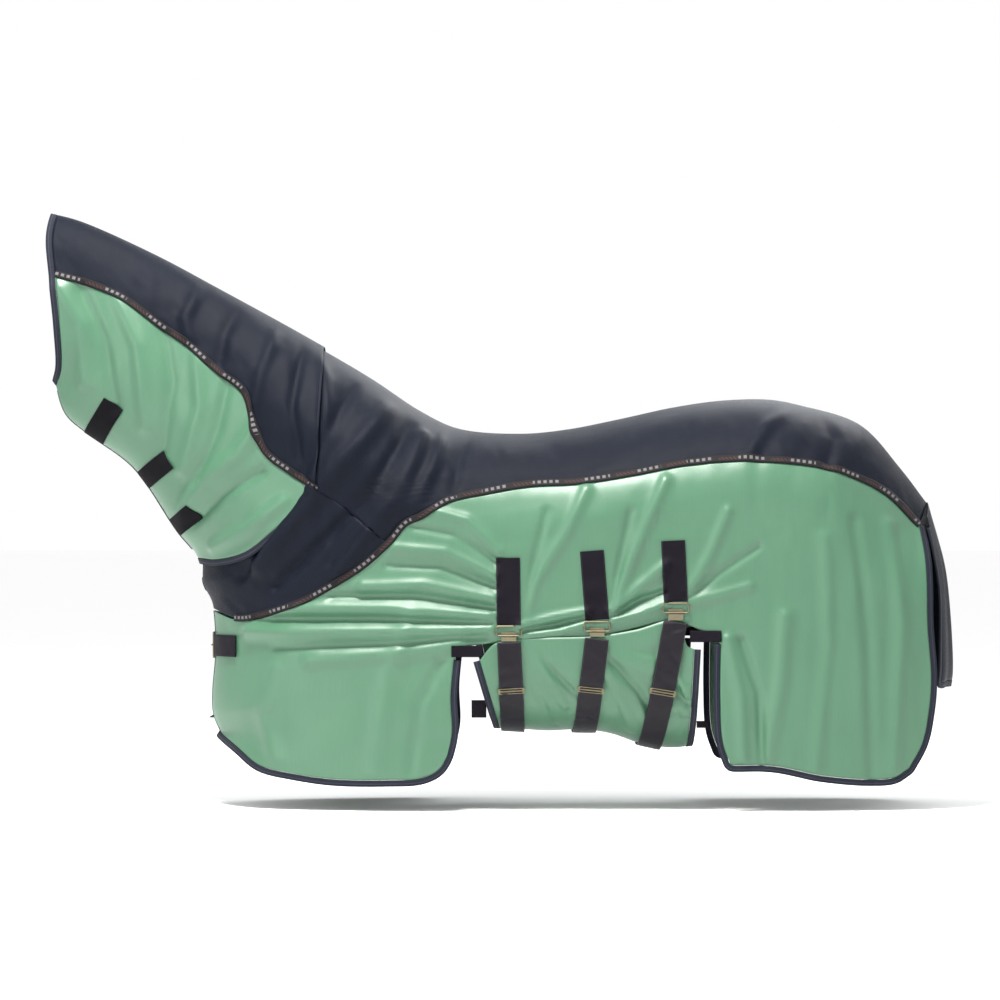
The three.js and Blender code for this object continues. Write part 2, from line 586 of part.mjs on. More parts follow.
surcingles.forEach(({ name, top, end, foot }) => {
  const slant = Math.abs(foot - end[0]) / (end[1] - gradeZ(-690)) * webbingWidth / 2;
  const length = Math.hypot(end[0] - top[0], end[1] - top[1]);
  const middle = [(top[0] + end[0]) / 2, (top[1] + end[1]) / 2];
  const lean = Math.atan2(end[0] - top[0], top[1] - end[1]);
  const half = halfWidth(middle[0], middle[1]);
  standOnSide(addPiece(`surcingle_patch_${name}`, slab(webbingWidth, length, webbingThickness, 2), webbing),
    -1, middle[0], middle[1], half + layerGap, lean);
  const anchorLength = top[1] - flapSeam - seamGap * 3 - slant * 2;
  standOnSide(addPiece(`surcingle_anchor_${name}`, slab(webbingWidth, anchorLength, webbingThickness, 2), webbing),
    1, end[0], top[1] - anchorLength / 2, half + layerGap);

  const ringLevel = end[1] - seamGap - webbingWidth * Math.abs(Math.sin(lean)) / 2 - ringWire / 2;
  const ringY = -(half + layerGap + hookThickness + ringClearance + ringWire / 2);
  addPiece(`surcingle_ring_${name}`, ringGeometry(webbingWidth + ringWire, ringHeight, ringWire), brass)
    .position.set(end[0], ringY, ringLevel - ringHeight / 2);
  const hookTop = ringLevel - ringHeight - ringWire / 2 - layerGap;
  const cornerRise = slant * hookHeadWidth / webbingWidth;
  const strapTop = hookTop - hookBaseHeight - seamGap - cornerRise;
  const shareOf = (turn) => {
    const depth = Math.abs(Math.sin(turn)) ** flapPower;
    const x = end[0] + (foot - end[0]) * depth;
    return (x - flapFrontX(depth)) / (flapRearX(depth) - flapFrontX(depth));
  };
  const start = ramp(0.001, 0.4, 1200).find((turn) => flapPoint(shareOf(turn), turn).z <= strapTop);
  const hookBase = hookTop - flapPoint(shareOf(start), start).z - seamGap - cornerRise;
  const hookBar = flapHalf + flapLift + strapGap - half;
  const hook = addPiece(`t_hook_${name}`, hookGeometry(hookBar, hookBase), brass);
  hook.rotation.set(Math.PI / 2, 0, -Math.PI / 2, 'ZXY');
  hook.position.set(end[0] + hookHeadWidth / 2, -half, hookTop);
  const turns = [start, ...flapTurns.filter((turn) => turn > start + 0.02)];
  const stations = turns.map((turn) => flapStation(shareOf(turn), turn));
  const frames = framesAlong(stations, 1);
  addPiece(`belly_strap_${name}`, band(frames, { from: -webbingWidth / 2, to: webbingWidth / 2, inner: strapGap,
    outer: strapGap + webbingThickness }), webbing);
  const slider = addPiece(`strap_slider_${name}`, sliderGeometry(), brass);
  const seat = stations.findIndex(({ point }) => point.z < gradeZ(-585));
  const along = stations[seat].point.clone().sub(stations[seat - 1].point).normalize();
  const across = new THREE.Vector3().crossVectors(along, stations[seat].out).normalize().negate();
  const out = new THREE.Vector3().crossVectors(along, across).normalize();
  const outward = out.dot(stations[seat].out) > 0 ? out : out.negate();
  const middlePoint = stations[seat].point.clone().add(stations[seat - 1].point).multiplyScalar(0.5);
  slider.quaternion.setFromRotationMatrix(new THREE.Matrix4().makeBasis(
    new THREE.Vector3().crossVectors(along.clone().negate(), outward).normalize(), along.clone().negate(), outward));
  slider.position.copy(middlePoint.addScaledVector(outward, strapGap + webbingThickness + seamGap));
});

function ringGeometry(width, height, wire) {
  const corner = wire;
  const points = [];
  [[1, 1, 0], [-1, 1, 1], [-1, -1, 2], [1, -1, 3]].forEach(([sx, sz, quarter]) => {
    ramp(0, Math.PI / 2, 2).forEach((angle) => {
      const turn = angle + quarter * Math.PI / 2;
      points.push(new THREE.Vector3(sx * (width / 2 - corner) + corner * Math.cos(turn), 0,
        sz * (height / 2 - corner) + corner * Math.sin(turn)));
    });
  });
  return roundedLoop(points, wire / 2, 6);
}

// A closed wire through a flat loop of points in the XZ plane.
function roundedLoop(points, radius, spokes) {
  const count = points.length;
  const positions = [];
  const index = [];
  points.forEach((point, i) => {
    const before = points[(i + count - 1) % count];
    const after = points[(i + 1) % count];
    const a = point.clone().sub(before).normalize();
    const along = after.clone().sub(before).normalize();
    const flat = new THREE.Vector3(along.z, 0, -along.x).divideScalar(Math.max(a.dot(along), 0.7));
    for (let k = 0; k < spokes; k += 1) {
      const turn = (k + 0.5) * 2 * Math.PI / spokes;
      const p = point.clone().addScaledVector(flat, radius * Math.cos(turn));
      positions.push(p.x, p.y + radius * Math.sin(turn), p.z);
      const next = (i + 1) % count;
      const c = (k + 1) % spokes;
      index.push(i * spokes + k, i * spokes + c, next * spokes + c, i * spokes + k, next * spokes + c,
        next * spokes + k);
    }
  });
  return facingOut(positions, index);
}

// Side profile of a hook, outward and up: strap bar, web under the ring and head behind the ring.
function hookGeometry(bar, base) {
  const shape = new THREE.Shape();
  shape.moveTo(bar, -base);
  shape.lineTo(bar + hookThickness, -base);
  shape.lineTo(bar + hookThickness, 0);
  shape.lineTo(layerGap + hookThickness, 0);
  shape.lineTo(layerGap + hookThickness, hookHeadReach);
  shape.lineTo(layerGap, hookHeadReach);
  shape.lineTo(layerGap, -hookThickness);
  shape.lineTo(bar, -hookThickness);
  shape.closePath();
  return new THREE.ExtrudeGeometry(shape, { depth: hookHeadWidth, bevelEnabled: false });
}

function sliderGeometry() {
  const hole = (level) => slotHole(webbingWidth * 0.92, sliderHeight * 0.24, level);
  return slab(webbingWidth + 6, sliderHeight, sliderThickness, 3,
    [hole(sliderHeight * 0.24), hole(-sliderHeight * 0.24)]);
}

// Reinforcements at the tops of the leg slots; on the off side they stay above the flap's seam.
[['front', graded(-120.5, -497)], ['rear', graded(419.5, -463)]].forEach(([name, [x, z]]) => {
  sides.forEach(([sideName, side]) => {
    const level = side > 0 ? Math.max(z, flapSeam + slotBarHeight / 2 + coverGap) : z;
    standOnSide(addPiece(`${sideName}_${name}_slot_bar`, slab(slotBarLength, slotBarHeight, webbingThickness, 2),
      webbing), side, x, level, halfWidth(x, level) + layerGap);
  });
});

// Tail flap: hangs from the rear edge of the back panel, rounded out behind.
const tailRows = 7;
const tailLine = sideLine([[943.2, -160], [966, -246], [984, -329], [997, -476], [1000, -560], [996, -584]]);
const tailHem = 0.965;
function tailPoint(y, drop) {
  const share = (2 * y / tailFlapWidth) ** 2;
  const [x, z] = tailLine(drop);
  const topDrop = gradeZ(42) * share * (1 - drop);
  return new THREE.Vector3(x - gradeX(14 + 34 * drop) * share, y, z - topDrop);
}
function tailStation(y, drop) {
  const step = 1e-3;
  const down = tailPoint(y, Math.min(drop + step, 1)).sub(tailPoint(y, Math.max(drop - step, 0)));
  const across = tailPoint(y + 1, drop).sub(tailPoint(y - 1, drop));
  return { point: tailPoint(y, drop), out: across.cross(down).normalize().negate() };
}
const tailHalf = tailFlapWidth / 2 - bindingWidth;
const tailGrid = (height) => ramp(0, tailHem, tailRows).map((drop) => ramp(-tailHalf, tailHalf, 8).map((y) => {
  const { point, out } = tailStation(y, drop);
  return point.addScaledVector(out, height);
}));
addPiece('tail_flap', closedSheet(tailGrid(clothThickness), tailGrid(0)), cloth);
const tailEdges = [...ramp(0.06, tailHem, tailRows - 1).map((drop) => [-tailHalf, drop]),
  ...ramp(-tailHalf, tailHalf, 8).slice(1, -1).map((y) => [y, tailHem]),
  ...ramp(tailHem, 0.06, tailRows - 1).map((drop) => [tailHalf, drop])];
const tailStations = tailEdges.map(([y, drop]) => {
  const { point, out } = tailStation(y, drop);
  return { point: point.addScaledVector(out, clothThickness), out };
});
addPiece('tail_binding', band(framesAlong(tailStations, 1), bindingSize), binding);

// Chest straps: webbing from each shoulder to the middle of the chest, joined by a buckle.
const chestStrapTail = gradeX(-651);
const buckleHeight = chestStrapWidth + 8;
const buckleWidth = 44;
const chestFront = throatLine(shareAt(throatLine, 1, gradeZ(chestStrapHeight)))[0];
const chestReach = Math.acos(1 - (chestStrapTail - chestFront) / chestDepth);
const chestLift = clothThickness;
const strapEnd = buckleWidth / 2 + ringWire / 2 - seamGap;
function chestStation(turn, side) {
  const place = [chestFront + chestDepth * (1 - Math.cos(turn)), gradeZ(chestStrapHeight)];
  return { point: onRug(place, side, chestLift), out: outwardAt(place[0], place[1], side) };
}
const chestStart = ramp(0.01, 0.6, 1200).find((turn) => chestStation(turn, 1).point.y > strapEnd);
const chestTurns = ramp(chestStart, chestReach, 13);
const chestBand = { from: -chestStrapWidth / 2, to: chestStrapWidth / 2, inner: 0, outer: webbingThickness };
sides.forEach(([name, side]) => {
  const stations = chestTurns.map((turn) => chestStation(turn, side));
  addPiece(`${name}_chest_strap`, band(framesAlong(stations, 1), chestBand), webbing);
});
const buckleX = chestFront - chestLift - webbingThickness / 2;
const buckle = addPiece('chest_buckle_frame', ringGeometry(buckleWidth, buckleHeight, ringWire), brass);
buckle.rotation.set(0, 0, Math.PI / 2);
buckle.position.set(buckleX, 0, gradeZ(chestStrapHeight));
const tongueWire = 3;
addPiece('chest_buckle_tongue', new THREE.BoxGeometry(tongueWire, buckleWidth + ringWire, tongueWire), brass)
  .position.set(buckleX - (ringWire + tongueWire) / 2 - seamGap, 0, gradeZ(chestStrapHeight));
const keeperWidth = 10;
const keeperTurn = (chestTurns[2] + chestTurns[3]) / 2;
const keeperSeat = chestStation(keeperTurn, 1);
const keeper = addPiece('chest_keeper', slab(keeperWidth, chestStrapWidth + 10, 2, 2), webbing);
const keeperUp = new THREE.Vector3(0, 0, 1);
const keeperAcross = new THREE.Vector3().crossVectors(keeperUp, keeperSeat.out).normalize();
keeper.quaternion.setFromRotationMatrix(new THREE.Matrix4().makeBasis(keeperAcross,
  new THREE.Vector3().crossVectors(keeperSeat.out, keeperAcross), keeperSeat.out));
keeper.position.copy(keeperSeat.point).addScaledVector(keeperSeat.out, webbingThickness + layerGap);

// Loose tab at the flap's front corner and the link from its rear corner to the hind quarter.
function cornerTab(name, share, direction, length, height, turn) {
  const { point, out } = flapStation(share, turn);
  const reach = bindingWidth + (direction < 0 ? layerGap * 3 : layerGap);
  const piece = addPiece(name, slab(length, height, webbingThickness, 2), webbing);
  piece.rotation.set(Math.PI / 2, 0, 0);
  piece.position.copy(point).addScaledVector(out, -clothThickness / 2 + webbingThickness / 2);
  piece.position.x += direction * (reach + length / 2);
  return piece;
}
cornerTab('belly_tab', 0, -1, 34, 40, 0.62);
cornerTab('belly_link', 1, 1, 27, 16, 0.7);

export default rug;
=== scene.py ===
import math

import bmesh
import bpy
import numpy as np
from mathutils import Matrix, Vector


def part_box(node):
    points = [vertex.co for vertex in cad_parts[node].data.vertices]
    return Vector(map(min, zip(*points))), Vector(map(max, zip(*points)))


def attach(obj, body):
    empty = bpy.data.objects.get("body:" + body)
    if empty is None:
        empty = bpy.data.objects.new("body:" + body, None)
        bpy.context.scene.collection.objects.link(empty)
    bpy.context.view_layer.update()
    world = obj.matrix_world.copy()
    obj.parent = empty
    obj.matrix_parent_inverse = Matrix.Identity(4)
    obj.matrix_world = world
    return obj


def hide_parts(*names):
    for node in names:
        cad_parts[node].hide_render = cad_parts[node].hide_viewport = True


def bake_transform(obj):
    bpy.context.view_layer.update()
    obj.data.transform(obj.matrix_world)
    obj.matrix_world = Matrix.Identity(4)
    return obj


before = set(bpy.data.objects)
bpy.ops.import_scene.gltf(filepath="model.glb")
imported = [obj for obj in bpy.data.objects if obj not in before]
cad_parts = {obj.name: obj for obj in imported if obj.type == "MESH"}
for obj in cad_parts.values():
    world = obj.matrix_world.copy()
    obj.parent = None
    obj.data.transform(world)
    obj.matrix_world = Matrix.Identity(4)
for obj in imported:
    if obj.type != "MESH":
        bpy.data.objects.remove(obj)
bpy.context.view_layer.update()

mm = 0.001


def addObject(name, data):
    thing = bpy.data.objects.new(name, data)
    bpy.context.scene.collection.objects.link(thing)
    return thing


# camera first: long lens, level, straight onto the near side
cameraSet = {"aim": (-0.046, 0.0, -0.154), "distance": 12.0, "width": 2.3, "depth": 0.12}
cameraData = bpy.data.cameras.new("sideCamera")
cameraData.lens = 36.0 * (cameraSet["distance"] - cameraSet["depth"]) / cameraSet["width"]
camera = addObject("sideCamera", cameraData)
camera.location = (cameraSet["aim"][0], -cameraSet["distance"], cameraSet["aim"][2])
camera.rotation_euler = (math.pi / 2, 0, 0)
bpy.context.scene.camera = camera


# lines of the side view, in millimetres

def runAlong(points):
    return np.concatenate([[0], np.cumsum(np.linalg.norm(np.diff(points, axis=0), axis=1))])


def unit(v):
    return v / np.maximum(np.linalg.norm(v, axis=-1), 1e-9)[..., None]


def sideLine(points, perSpan=40):
    p = np.array(points, float)
    p = np.vstack([2 * p[0] - p[1], p, 2 * p[-1] - p[-2]])
    dense = []
    t = np.linspace(0, 1, perSpan, endpoint=False)[:, None]
    for i in range(1, len(p) - 2):
        a, b, c, d = p[i - 1:i + 3]
        ta, tb, tc = (max(np.linalg.norm(v), 1e-6) ** 0.5 for v in (b - a, c - b, d - c))
        m1 = ((b - a) / ta - (c - a) / (ta + tb) + (c - b) / tb) * tb
        m2 = ((c - b) / tb - (d - b) / (tb + tc) + (d - c) / tc) * tb
        dense.append(b + m1 * t + (3 * (c - b) - 2 * m1 - m2) * t ** 2 + (2 * (b - c) + m1 + m2) * t ** 3)
    return alongLine(np.vstack(dense + [p[-2:-1]]))


def alongLine(dense):
    dense = np.array(dense, float)
    run = runAlong(dense)
    run /= run[-1]

    def line(t):
        t = np.clip(np.asarray(t, float), 0, 1)
        return np.stack([np.interp(t, run, dense[:, k]) for k in (0, 1)], -1)
    return line


def partOf(line, start, stop):
    return lambda t: line(start + (stop - start) * np.asarray(t, float))


def moved(line, dx, dz):
    return lambda t: line(t) + np.array([dx, dz])


def straight(a, b):
    return lambda t: np.array(a) + (np.array(b) - np.array(a)) * np.asarray(t, float)[..., None]


def shareAt(line, axis, value):
    t = np.linspace(0, 1, 4001)
    return t[np.argmin(np.abs(line(t)[:, axis] - value))]


def joined(first, second, split):
    def line(t):
        t = np.asarray(t, float)
        return np.where((t < split)[..., None], first(t / split), second((t - split) / (1 - split)))
    return line


topLine = sideLine([[-1090, 504], [-1023, 486], [-851, 409], [-701, 329], [-506, 222], [-345, 128], [-230, 52],
                    [-143, 12], [0, 0], [110, 10], [232, 34], [356, 61], [470, 77], [580, 79], [650, 66],
                    [789, 21], [883, -80], [943, -159]])
throatLine = sideLine([[-1083, 113], [-1053, 50], [-1003, 9], [-892, -72], [-789, -221], [-740, -285],
                       [-735, -347], [-713, -396], [-706, -506], [-713, -600], [-711, -651], [-695, -690]])
headLine = sideLine([[-1083, 113], [-1072, 152], [-1074, 240], [-1086, 360], [-1096, 450], [-1090, 504]])
bodySeam = sideLine([[-713, -405], [-649, -425], [-584, -414], [-501, -386], [-439, -354], [-359, -304],
                     [-299, -251], [-260, -206], [-225, -190], [-161, -152], [-76, -133], [23, -117],
                     [140, -110], [264, -90], [375, -69], [508, -60], [685, -76], [828, -131], [915, -212]])
neckSeam = sideLine([[-1087, 370], [-991, 343], [-911, 308], [-833, 251], [-761, 202], [-688, 140],
                     [-628, 92], [-603, 15], [-575, -45], [-520, -88], [-455, -129]])
neckHem = sideLine([[-740, -285], [-695, -290], [-628, -274], [-559, -223], [-483, -159], [-455, -129]])
rearEdge = sideLine([[915, -212], [925, -301], [928, -442], [936, -559], [930, -640], [916, -708], [885, -765]])
widthLine = sideLine([[-1100, 92], [-1000, 102], [-870, 116], [-740, 142], [-620, 196], [-480, 252],
                      [-330, 288], [-200, 300], [130, 300], [470, 300], [640, 296], [780, 274], [880, 244],
                      [960, 212]])
shares = np.linspace(0, 1, 161)
topSamples, throatSamples, widthSamples = topLine(shares), throatLine(shares), widthLine(shares)
bodyForm = {"crownDepth": 235.0, "chestDepth": 195.0}


# the rug's surface

def insetFrom(samples, p, turn):
    a, d = samples[:-1], np.diff(samples, axis=0)
    length2 = (d ** 2).sum(1)
    depth, inward = np.empty(len(p)), np.empty((len(p), 2))
    batch = 8000
    for k in range(0, len(p), batch):
        q = p[k:k + batch]
        rel = q[:, None, :] - a[None]
        share = np.clip((rel * d[None]).sum(2) / length2, 0, 1)
        diff = rel - share[..., None] * d[None]
        dist = np.linalg.norm(diff, axis=2)
        best = dist.argmin(1)
        rows = np.arange(len(q))
        near = dist[rows, best]
        straightIn = turn * np.stack([-d[best, 1], d[best, 0]], 1) / np.sqrt(length2[best])[:, None]
        away = diff[rows, best] / np.maximum(near, 1e-9)[:, None]
        inward[k:k + batch] = np.where(near[:, None] > 0.05, away, straightIn)
        depth[k:k + batch] = near
    return depth, inward


def rounding(share):
    return np.where(share >= 1, 1, np.sqrt(np.maximum(1 - (1 - np.minimum(share, 1)) ** 2, 0)))


def roundingSlope(share):
    return np.where(share >= 1, 0, (1 - share) / np.maximum(rounding(share), 0.02))


def smooth(x, low, high):
    t = np.clip((x - low) / (high - low), 0, 1)
    return t * t * (3 - 2 * t)


def widthAt(x):
    return np.interp(x, widthSamples[:, 0], widthSamples[:, 1])


def surface(place, side):
    shape = np.shape(place)[:-1]
    p = np.asarray(place, float).reshape(-1, 2)
    crownIn, crownWay = insetFrom(topSamples, p, -1)
    chestIn, chestWay = insetFrom(throatSamples, p, 1)
    crown, chest = crownIn / bodyForm["crownDepth"], chestIn / bodyForm["chestDepth"]
    width = widthAt(p[:, 0])
    half = width * rounding(crown) * rounding(chest)
    fall = width * roundingSlope(crown) / bodyForm["crownDepth"] * rounding(chest)
    turn = width * roundingSlope(chest) / bodyForm["chestDepth"] * rounding(crown)
    taper = (widthAt(p[:, 0] + 4) - widthAt(p[:, 0] - 4)) / 8 * rounding(crown) * rounding(chest)
    slope = fall[:, None] * crownWay + turn[:, None] * chestWay
    slope[:, 0] += taper
    sideways = np.broadcast_to(np.asarray(side, float), shape).reshape(-1)
    out = unit(np.stack([-slope[:, 0], sideways, -slope[:, 1]], 1))
    point = np.stack([p[:, 0], sideways * half, p[:, 1]], 1)
    free = smooth(crownIn, 4, 60) * smooth(chestIn, 4, 50)
    return point.reshape(shape + (3,)), out.reshape(shape + (3,)), free.reshape(shape)


# folds: height of the cloth over the plain form

def drapeNoise(x, z, across, along, seed, lean=0.0):
    c, s = np.cos(lean), np.sin(lean)
    u, v = (x * c + z * s) / across, (-x * s + z * c) / along
    rng = np.random.default_rng(seed)
    table = rng.uniform(-1, 1, (64, 64))
    iu, iv = np.floor(u).astype(int), np.floor(v).astype(int)
    fu, fv = u - iu, v - iv
    fu, fv = fu * fu * (3 - 2 * fu), fv * fv * (3 - 2 * fv)
    pick = lambda a, b: table[(iu + a) % 64, (iv + b) % 64]
    return (pick(0, 0) * (1 - fu) * (1 - fv) + pick(1, 0) * fu * (1 - fv)
            + pick(0, 1) * (1 - fu) * fv + pick(1, 1) * fu * fv)


def ridge(x, z, points, width, height):
    best = np.full(np.shape(x), 1e9)
    for (ax, az), (bx, bz) in zip(points[:-1], points[1:]):
        dx, dz = bx - ax, bz - az
        t = np.clip(((x - ax) * dx + (z - az) * dz) / (dx * dx + dz * dz), 0, 1)
        best = np.minimum(best, np.hypot(x - ax - t * dx, z - az - t * dz))
    return height * np.exp(-(best / width) ** 2)


# ridges and valleys pulled by the hooks, the chest strap and the neck: points, width, height
bodyFolds = [
    ([(-620, -455), (-330, -452), (-70, -446)], 15, 7.0),
    ([(-600, -425), (-330, -424), (-70, -432)], 11, -5.5),
    ([(-560, -400), (-300, -400), (-70, -418)], 14, 6.5),
    ([(-430, -372), (-240, -372), (-64, -398)], 10, -5.0),
    ([(-360, -350), (-220, -345), (-62, -378)], 13, 6.0),
    ([(-300, -300), (-180, -305), (-60, -350)], 10, -4.5),
    ([(-285, -262), (-170, -272), (-58, -325)], 12, 5.5),
    ([(-240, -215), (-150, -232), (-56, -295)], 9, -4.0),
    ([(-200, -178), (-120, -200), (-50, -272)], 11, 5.0),
    ([(-560, -490), (-300, -480), (-80, -462)], 10, -4.0),
    ([(-480, -520), (-250, -500), (-140, -478)], 16, 4.5),
    ([(0, -435), (40, -330), (110, -220), (150, -130)], 14, 5.0),
    ([(5, -430), (30, -300), (60, -180)], 9, -3.5),
    ([(0, -440), (80, -420), (150, -408)], 12, 6.0),
    ([(4, -450), (80, -436), (146, -420)], 8, -6.5),
    ([(4, -460), (90, -452), (150, -434)], 9, 5.0),
    ([(205, -405), (240, -320), (290, -200), (330, -110)], 14, 6.0),
    ([(205, -410), (225, -300), (250, -180)], 9, -4.0),
    ([(205, -412), (270, -350), (330, -300)], 12, 6.0),
    ([(205, -418), (262, -384), (325, -362)], 8, -7.0),
    ([(208, -428), (270, -412), (330, -388)], 9, 6.0),
    ([(385, -360), (430, -280), (470, -180)], 13, 5.0),
    ([(385, -370), (450, -320), (540, -260)], 10, -4.0),
    ([(385, -385), (440, -372), (520, -350)], 12, 4.0),
    ([(470, -470), (500, -600), (505, -740)], 14, 5.5),
    ([(500, -470), (540, -590), (548, -745)], 10, -5.0),
    ([(600, -420), (590, -560), (560, -735)], 18, 6.0),
    ([(690, -240), (700, -480), (670, -770)], 16, 4.5),
    ([(760, -200), (790, -460), (800, -780)], 15, -4.5),
    ([(840, -210), (866, -430), (850, -770)], 16, 5.0),
    ([(-250, -420), (-300, -560), (-330, -770)], 22, 4.5),
    ([(-180, -520), (-230, -620), (-250, -770)], 14, -4.0),
    ([(-560, -540), (-590, -640), (-560, -740)], 20, 4.0),
]
yokeFolds = [
    ([(-300, 60), (-420, -90), (-600, -300)], 22, 8.0),
    ([(-250, 20), (-340, -140), (-560, -350)], 14, -6.0),
    ([(-225, -10), (-280, -150), (-420, -320)], 18, 7.0),
    ([(-380, 110), (-470, -60), (-640, -330)], 13, -5.0),
    ([(-455, 185), (-440, 20), (-470, -120)], 17, 7.0),
    ([(-500, 200), (-520, 60), (-500, -60)], 12, -5.0),
    ([(-560, 240), (-590, 130), (-600, 60)], 15, 5.0),
    ([(-650, 290), (-680, 220), (-690, 160)], 16, -4.5),
    ([(-740, 335), (-770, 260), (-760, 215)], 16, 4.5),
    ([(-170, 10), (-200, -80), (-240, -170)], 14, 5.0),
    ([(-110, 0), (-140, -60), (-150, -140)], 12, -4.0),
    ([(620, 60), (560, 10), (520, -50)], 16, 4.0),
    ([(700, 45), (720, -10), (700, -70)], 14, -3.5),
]
neckFolds = [
    ([(-790, -200), (-720, -110), (-640, -50), (-600, 10)], 20, 8.0),
    ([(-760, -215), (-680, -140), (-590, -90)], 13, -5.5),
    ([(-1060, 330), (-1010, 250), (-1000, 120)], 20, 5.0),
    ([(-1010, 330), (-960, 220), (-930, 60)], 15, -5.0),
    ([(-930, 310), (-880, 200), (-860, 20)], 18, 5.5),
    ([(-820, 240), (-800, 120), (-820, -40)], 15, -5.0),
    ([(-740, 180), (-730, 60), (-770, -80)], 18, 5.5),
    ([(-670, 110), (-690, 10), (-740, -110)], 13, -4.5),
    ([(-700, -260), (-620, -220), (-540, -160)], 14, 5.0),
]


foldDepth = {"body": 1.7, "cover": 2.2, "neck": 1.9, "flap": 1.6}
offSideShare = 0.75  # the off side hangs calmer than the side the hooks pull


def bodyDrape(x, z):
    skirt = smooth(x, 380, 520)
    low = smooth(-z, 150, 700)
    h = foldDepth["body"] * sum(ridge(x, z, *f) for f in bodyFolds)
    h = h + skirt * (2.6 + 3.4 * low) * drapeNoise(x, z, 62, 520, 3, 0.05)
    h = h + skirt * 1.5 * drapeNoise(x, z, 27, 260, 5, -0.06)
    h = h + (1 - skirt) * 3.4 * drapeNoise(x, z, 120, 170, 7)
    h = h + (1 - skirt) * 1.6 * drapeNoise(x, z, 150, 34, 9, 0.08)
    h = h + 0.55 * drapeNoise(x, z, 22, 40, 13)
    return h


def coverDrape(x, z):
    along = 0.45 * smooth(-x, 150, 600)
    h = foldDepth["cover"] * sum(ridge(x, z, *f) for f in yokeFolds)
    h = h + 3.0 * drapeNoise(x, z, 70, 150, 21, along)
    h = h + 2.2 * drapeNoise(x, z, 28, 90, 23, along - 0.5)
    h = h + 1.0 * drapeNoise(x, z, 15, 34, 25, along + 0.3)
    return h


def neckDrape(x, z):
    h = foldDepth["neck"] * sum(ridge(x, z, *f) for f in neckFolds)
    h = h + 2.8 * drapeNoise(x, z, 60, 170, 31, 0.25)
    h = h + 1.1 * drapeNoise(x, z, 24, 60, 33, -0.2)
    return h


def seamShare(x, z):
    seam = bodySeam(np.linspace(0, 1, 400))
    level = np.interp(x, seam[:, 0], seam[:, 1])
    return smooth(z - level, -24, 24)


def neckShare(x, z):
    seam = neckSeam(np.linspace(0, 1, 400))
    seam = seam[np.argsort(seam[:, 0])]
    return smooth(z - np.interp(x, seam[:, 0], seam[:, 1]), -22, 22)


def bodyHeight(x, z):
    upper = seamShare(x, z)
    return bodyDrape(x, z) * (1 - upper) + coverDrape(x, z) * upper


def neckHeight(x, z):
    upper = neckShare(x, z)
    return neckDrape(x, z) * (1 - upper) + coverDrape(x, z) * upper


def onRug(place, side, lift=0.0, drape=bodyHeight, keepOff=0.0):
    point, out, free = surface(place, side)
    x, z = place[..., 0], place[..., 1]
    height = drape(x, z) * free * (1 if side < 0 else offSideShare)
    point = point + out * (height + lift)[..., None]
    point[..., 1] = side * np.maximum(side * point[..., 1], keepOff)
    return point, out


# mesh builders

clothThick = 1.6
bandSet = {"rim": 0.35, "rimFrom": 0.86, "underShare": 0.6}  # straps are thinner at the rim, crumple less beneath
wireSet = {"inset": 4.2, "corner": 5.0, "radius": 1.95}


def makePiece(name, points, faces, uv, material, turned=True):
    mesh = bpy.data.meshes.new(name)
    mesh.from_pydata((points * mm).tolist(), [], faces)
    layer = mesh.uv_layers.new(name="UVMap")
    loopVerts = np.empty(len(mesh.loops), int)
    mesh.loops.foreach_get("vertex_index", loopVerts)
    layer.data.foreach_set("uv", (uv * mm)[loopVerts].ravel())
    mesh.materials.append(material)
    mesh.polygons.foreach_set("use_smooth", [True] * len(mesh.polygons))
    mesh.update()
    bm = bmesh.new()
    bm.from_mesh(mesh)
    bmesh.ops.remove_doubles(bm, verts=bm.verts, dist=0.00002)
    if turned:
        bmesh.ops.recalc_face_normals(bm, faces=bm.faces)
    bm.to_mesh(mesh)
    bm.free()
    return addObject(name, mesh)


def gridUv(grid):
    rows = np.linalg.norm(np.diff(grid, axis=1), axis=2)
    cols = np.linalg.norm(np.diff(grid, axis=0), axis=2)
    u = np.concatenate([np.zeros((grid.shape[0], 1)), np.cumsum(rows, 1)], 1)
    u = np.broadcast_to(u.mean(0)[None], u.shape)
    v = np.concatenate([np.zeros((1, grid.shape[1])), np.cumsum(cols, 0)], 0)
    return np.stack([u, v], 2)


def gridFaces(rows, cols, loopRows=False, loopCols=False):
    i, j = np.meshgrid(np.arange(rows - 1 + loopRows), np.arange(cols - 1 + loopCols), indexing="ij")
    nextRow, nextCol = (i + 1) % rows * cols, (j + 1) % cols
    return np.stack([i * cols + j, i * cols + nextCol, nextRow + nextCol, nextRow + j], 2).reshape(-1, 4)


# one layer of cloth from grids that share their edges, thickened inwards
def clothPiece(name, grids, material):
    faces, start = [], 0
    for grid, out in grids:
        rows, cols = grid.shape[:2]
        i, j = rows // 2, cols // 2
        normal = np.cross(grid[1, 0] - grid[0, 0] + grid[i, j] - grid[i - 1, j], grid[i, j] - grid[i, j - 1])
        quads = gridFaces(rows, cols)[:, [0, 3, 2, 1]] + start
        faces.append(quads[:, ::-1] if np.dot(normal, out[i, j]) < 0 else quads)
        start += rows * cols
    points = np.concatenate([grid.reshape(-1, 3) for grid, _ in grids])
    uv = np.concatenate([gridUv(grid).reshape(-1, 2) for grid, _ in grids])
    piece = makePiece(name, points, np.concatenate(faces).tolist(), uv, material, turned=False)
    layer = piece.modifiers.new("thickness", "SOLIDIFY")
    layer.thickness, layer.offset, layer.use_even_offset = clothThick * mm, -1, False
    return piece


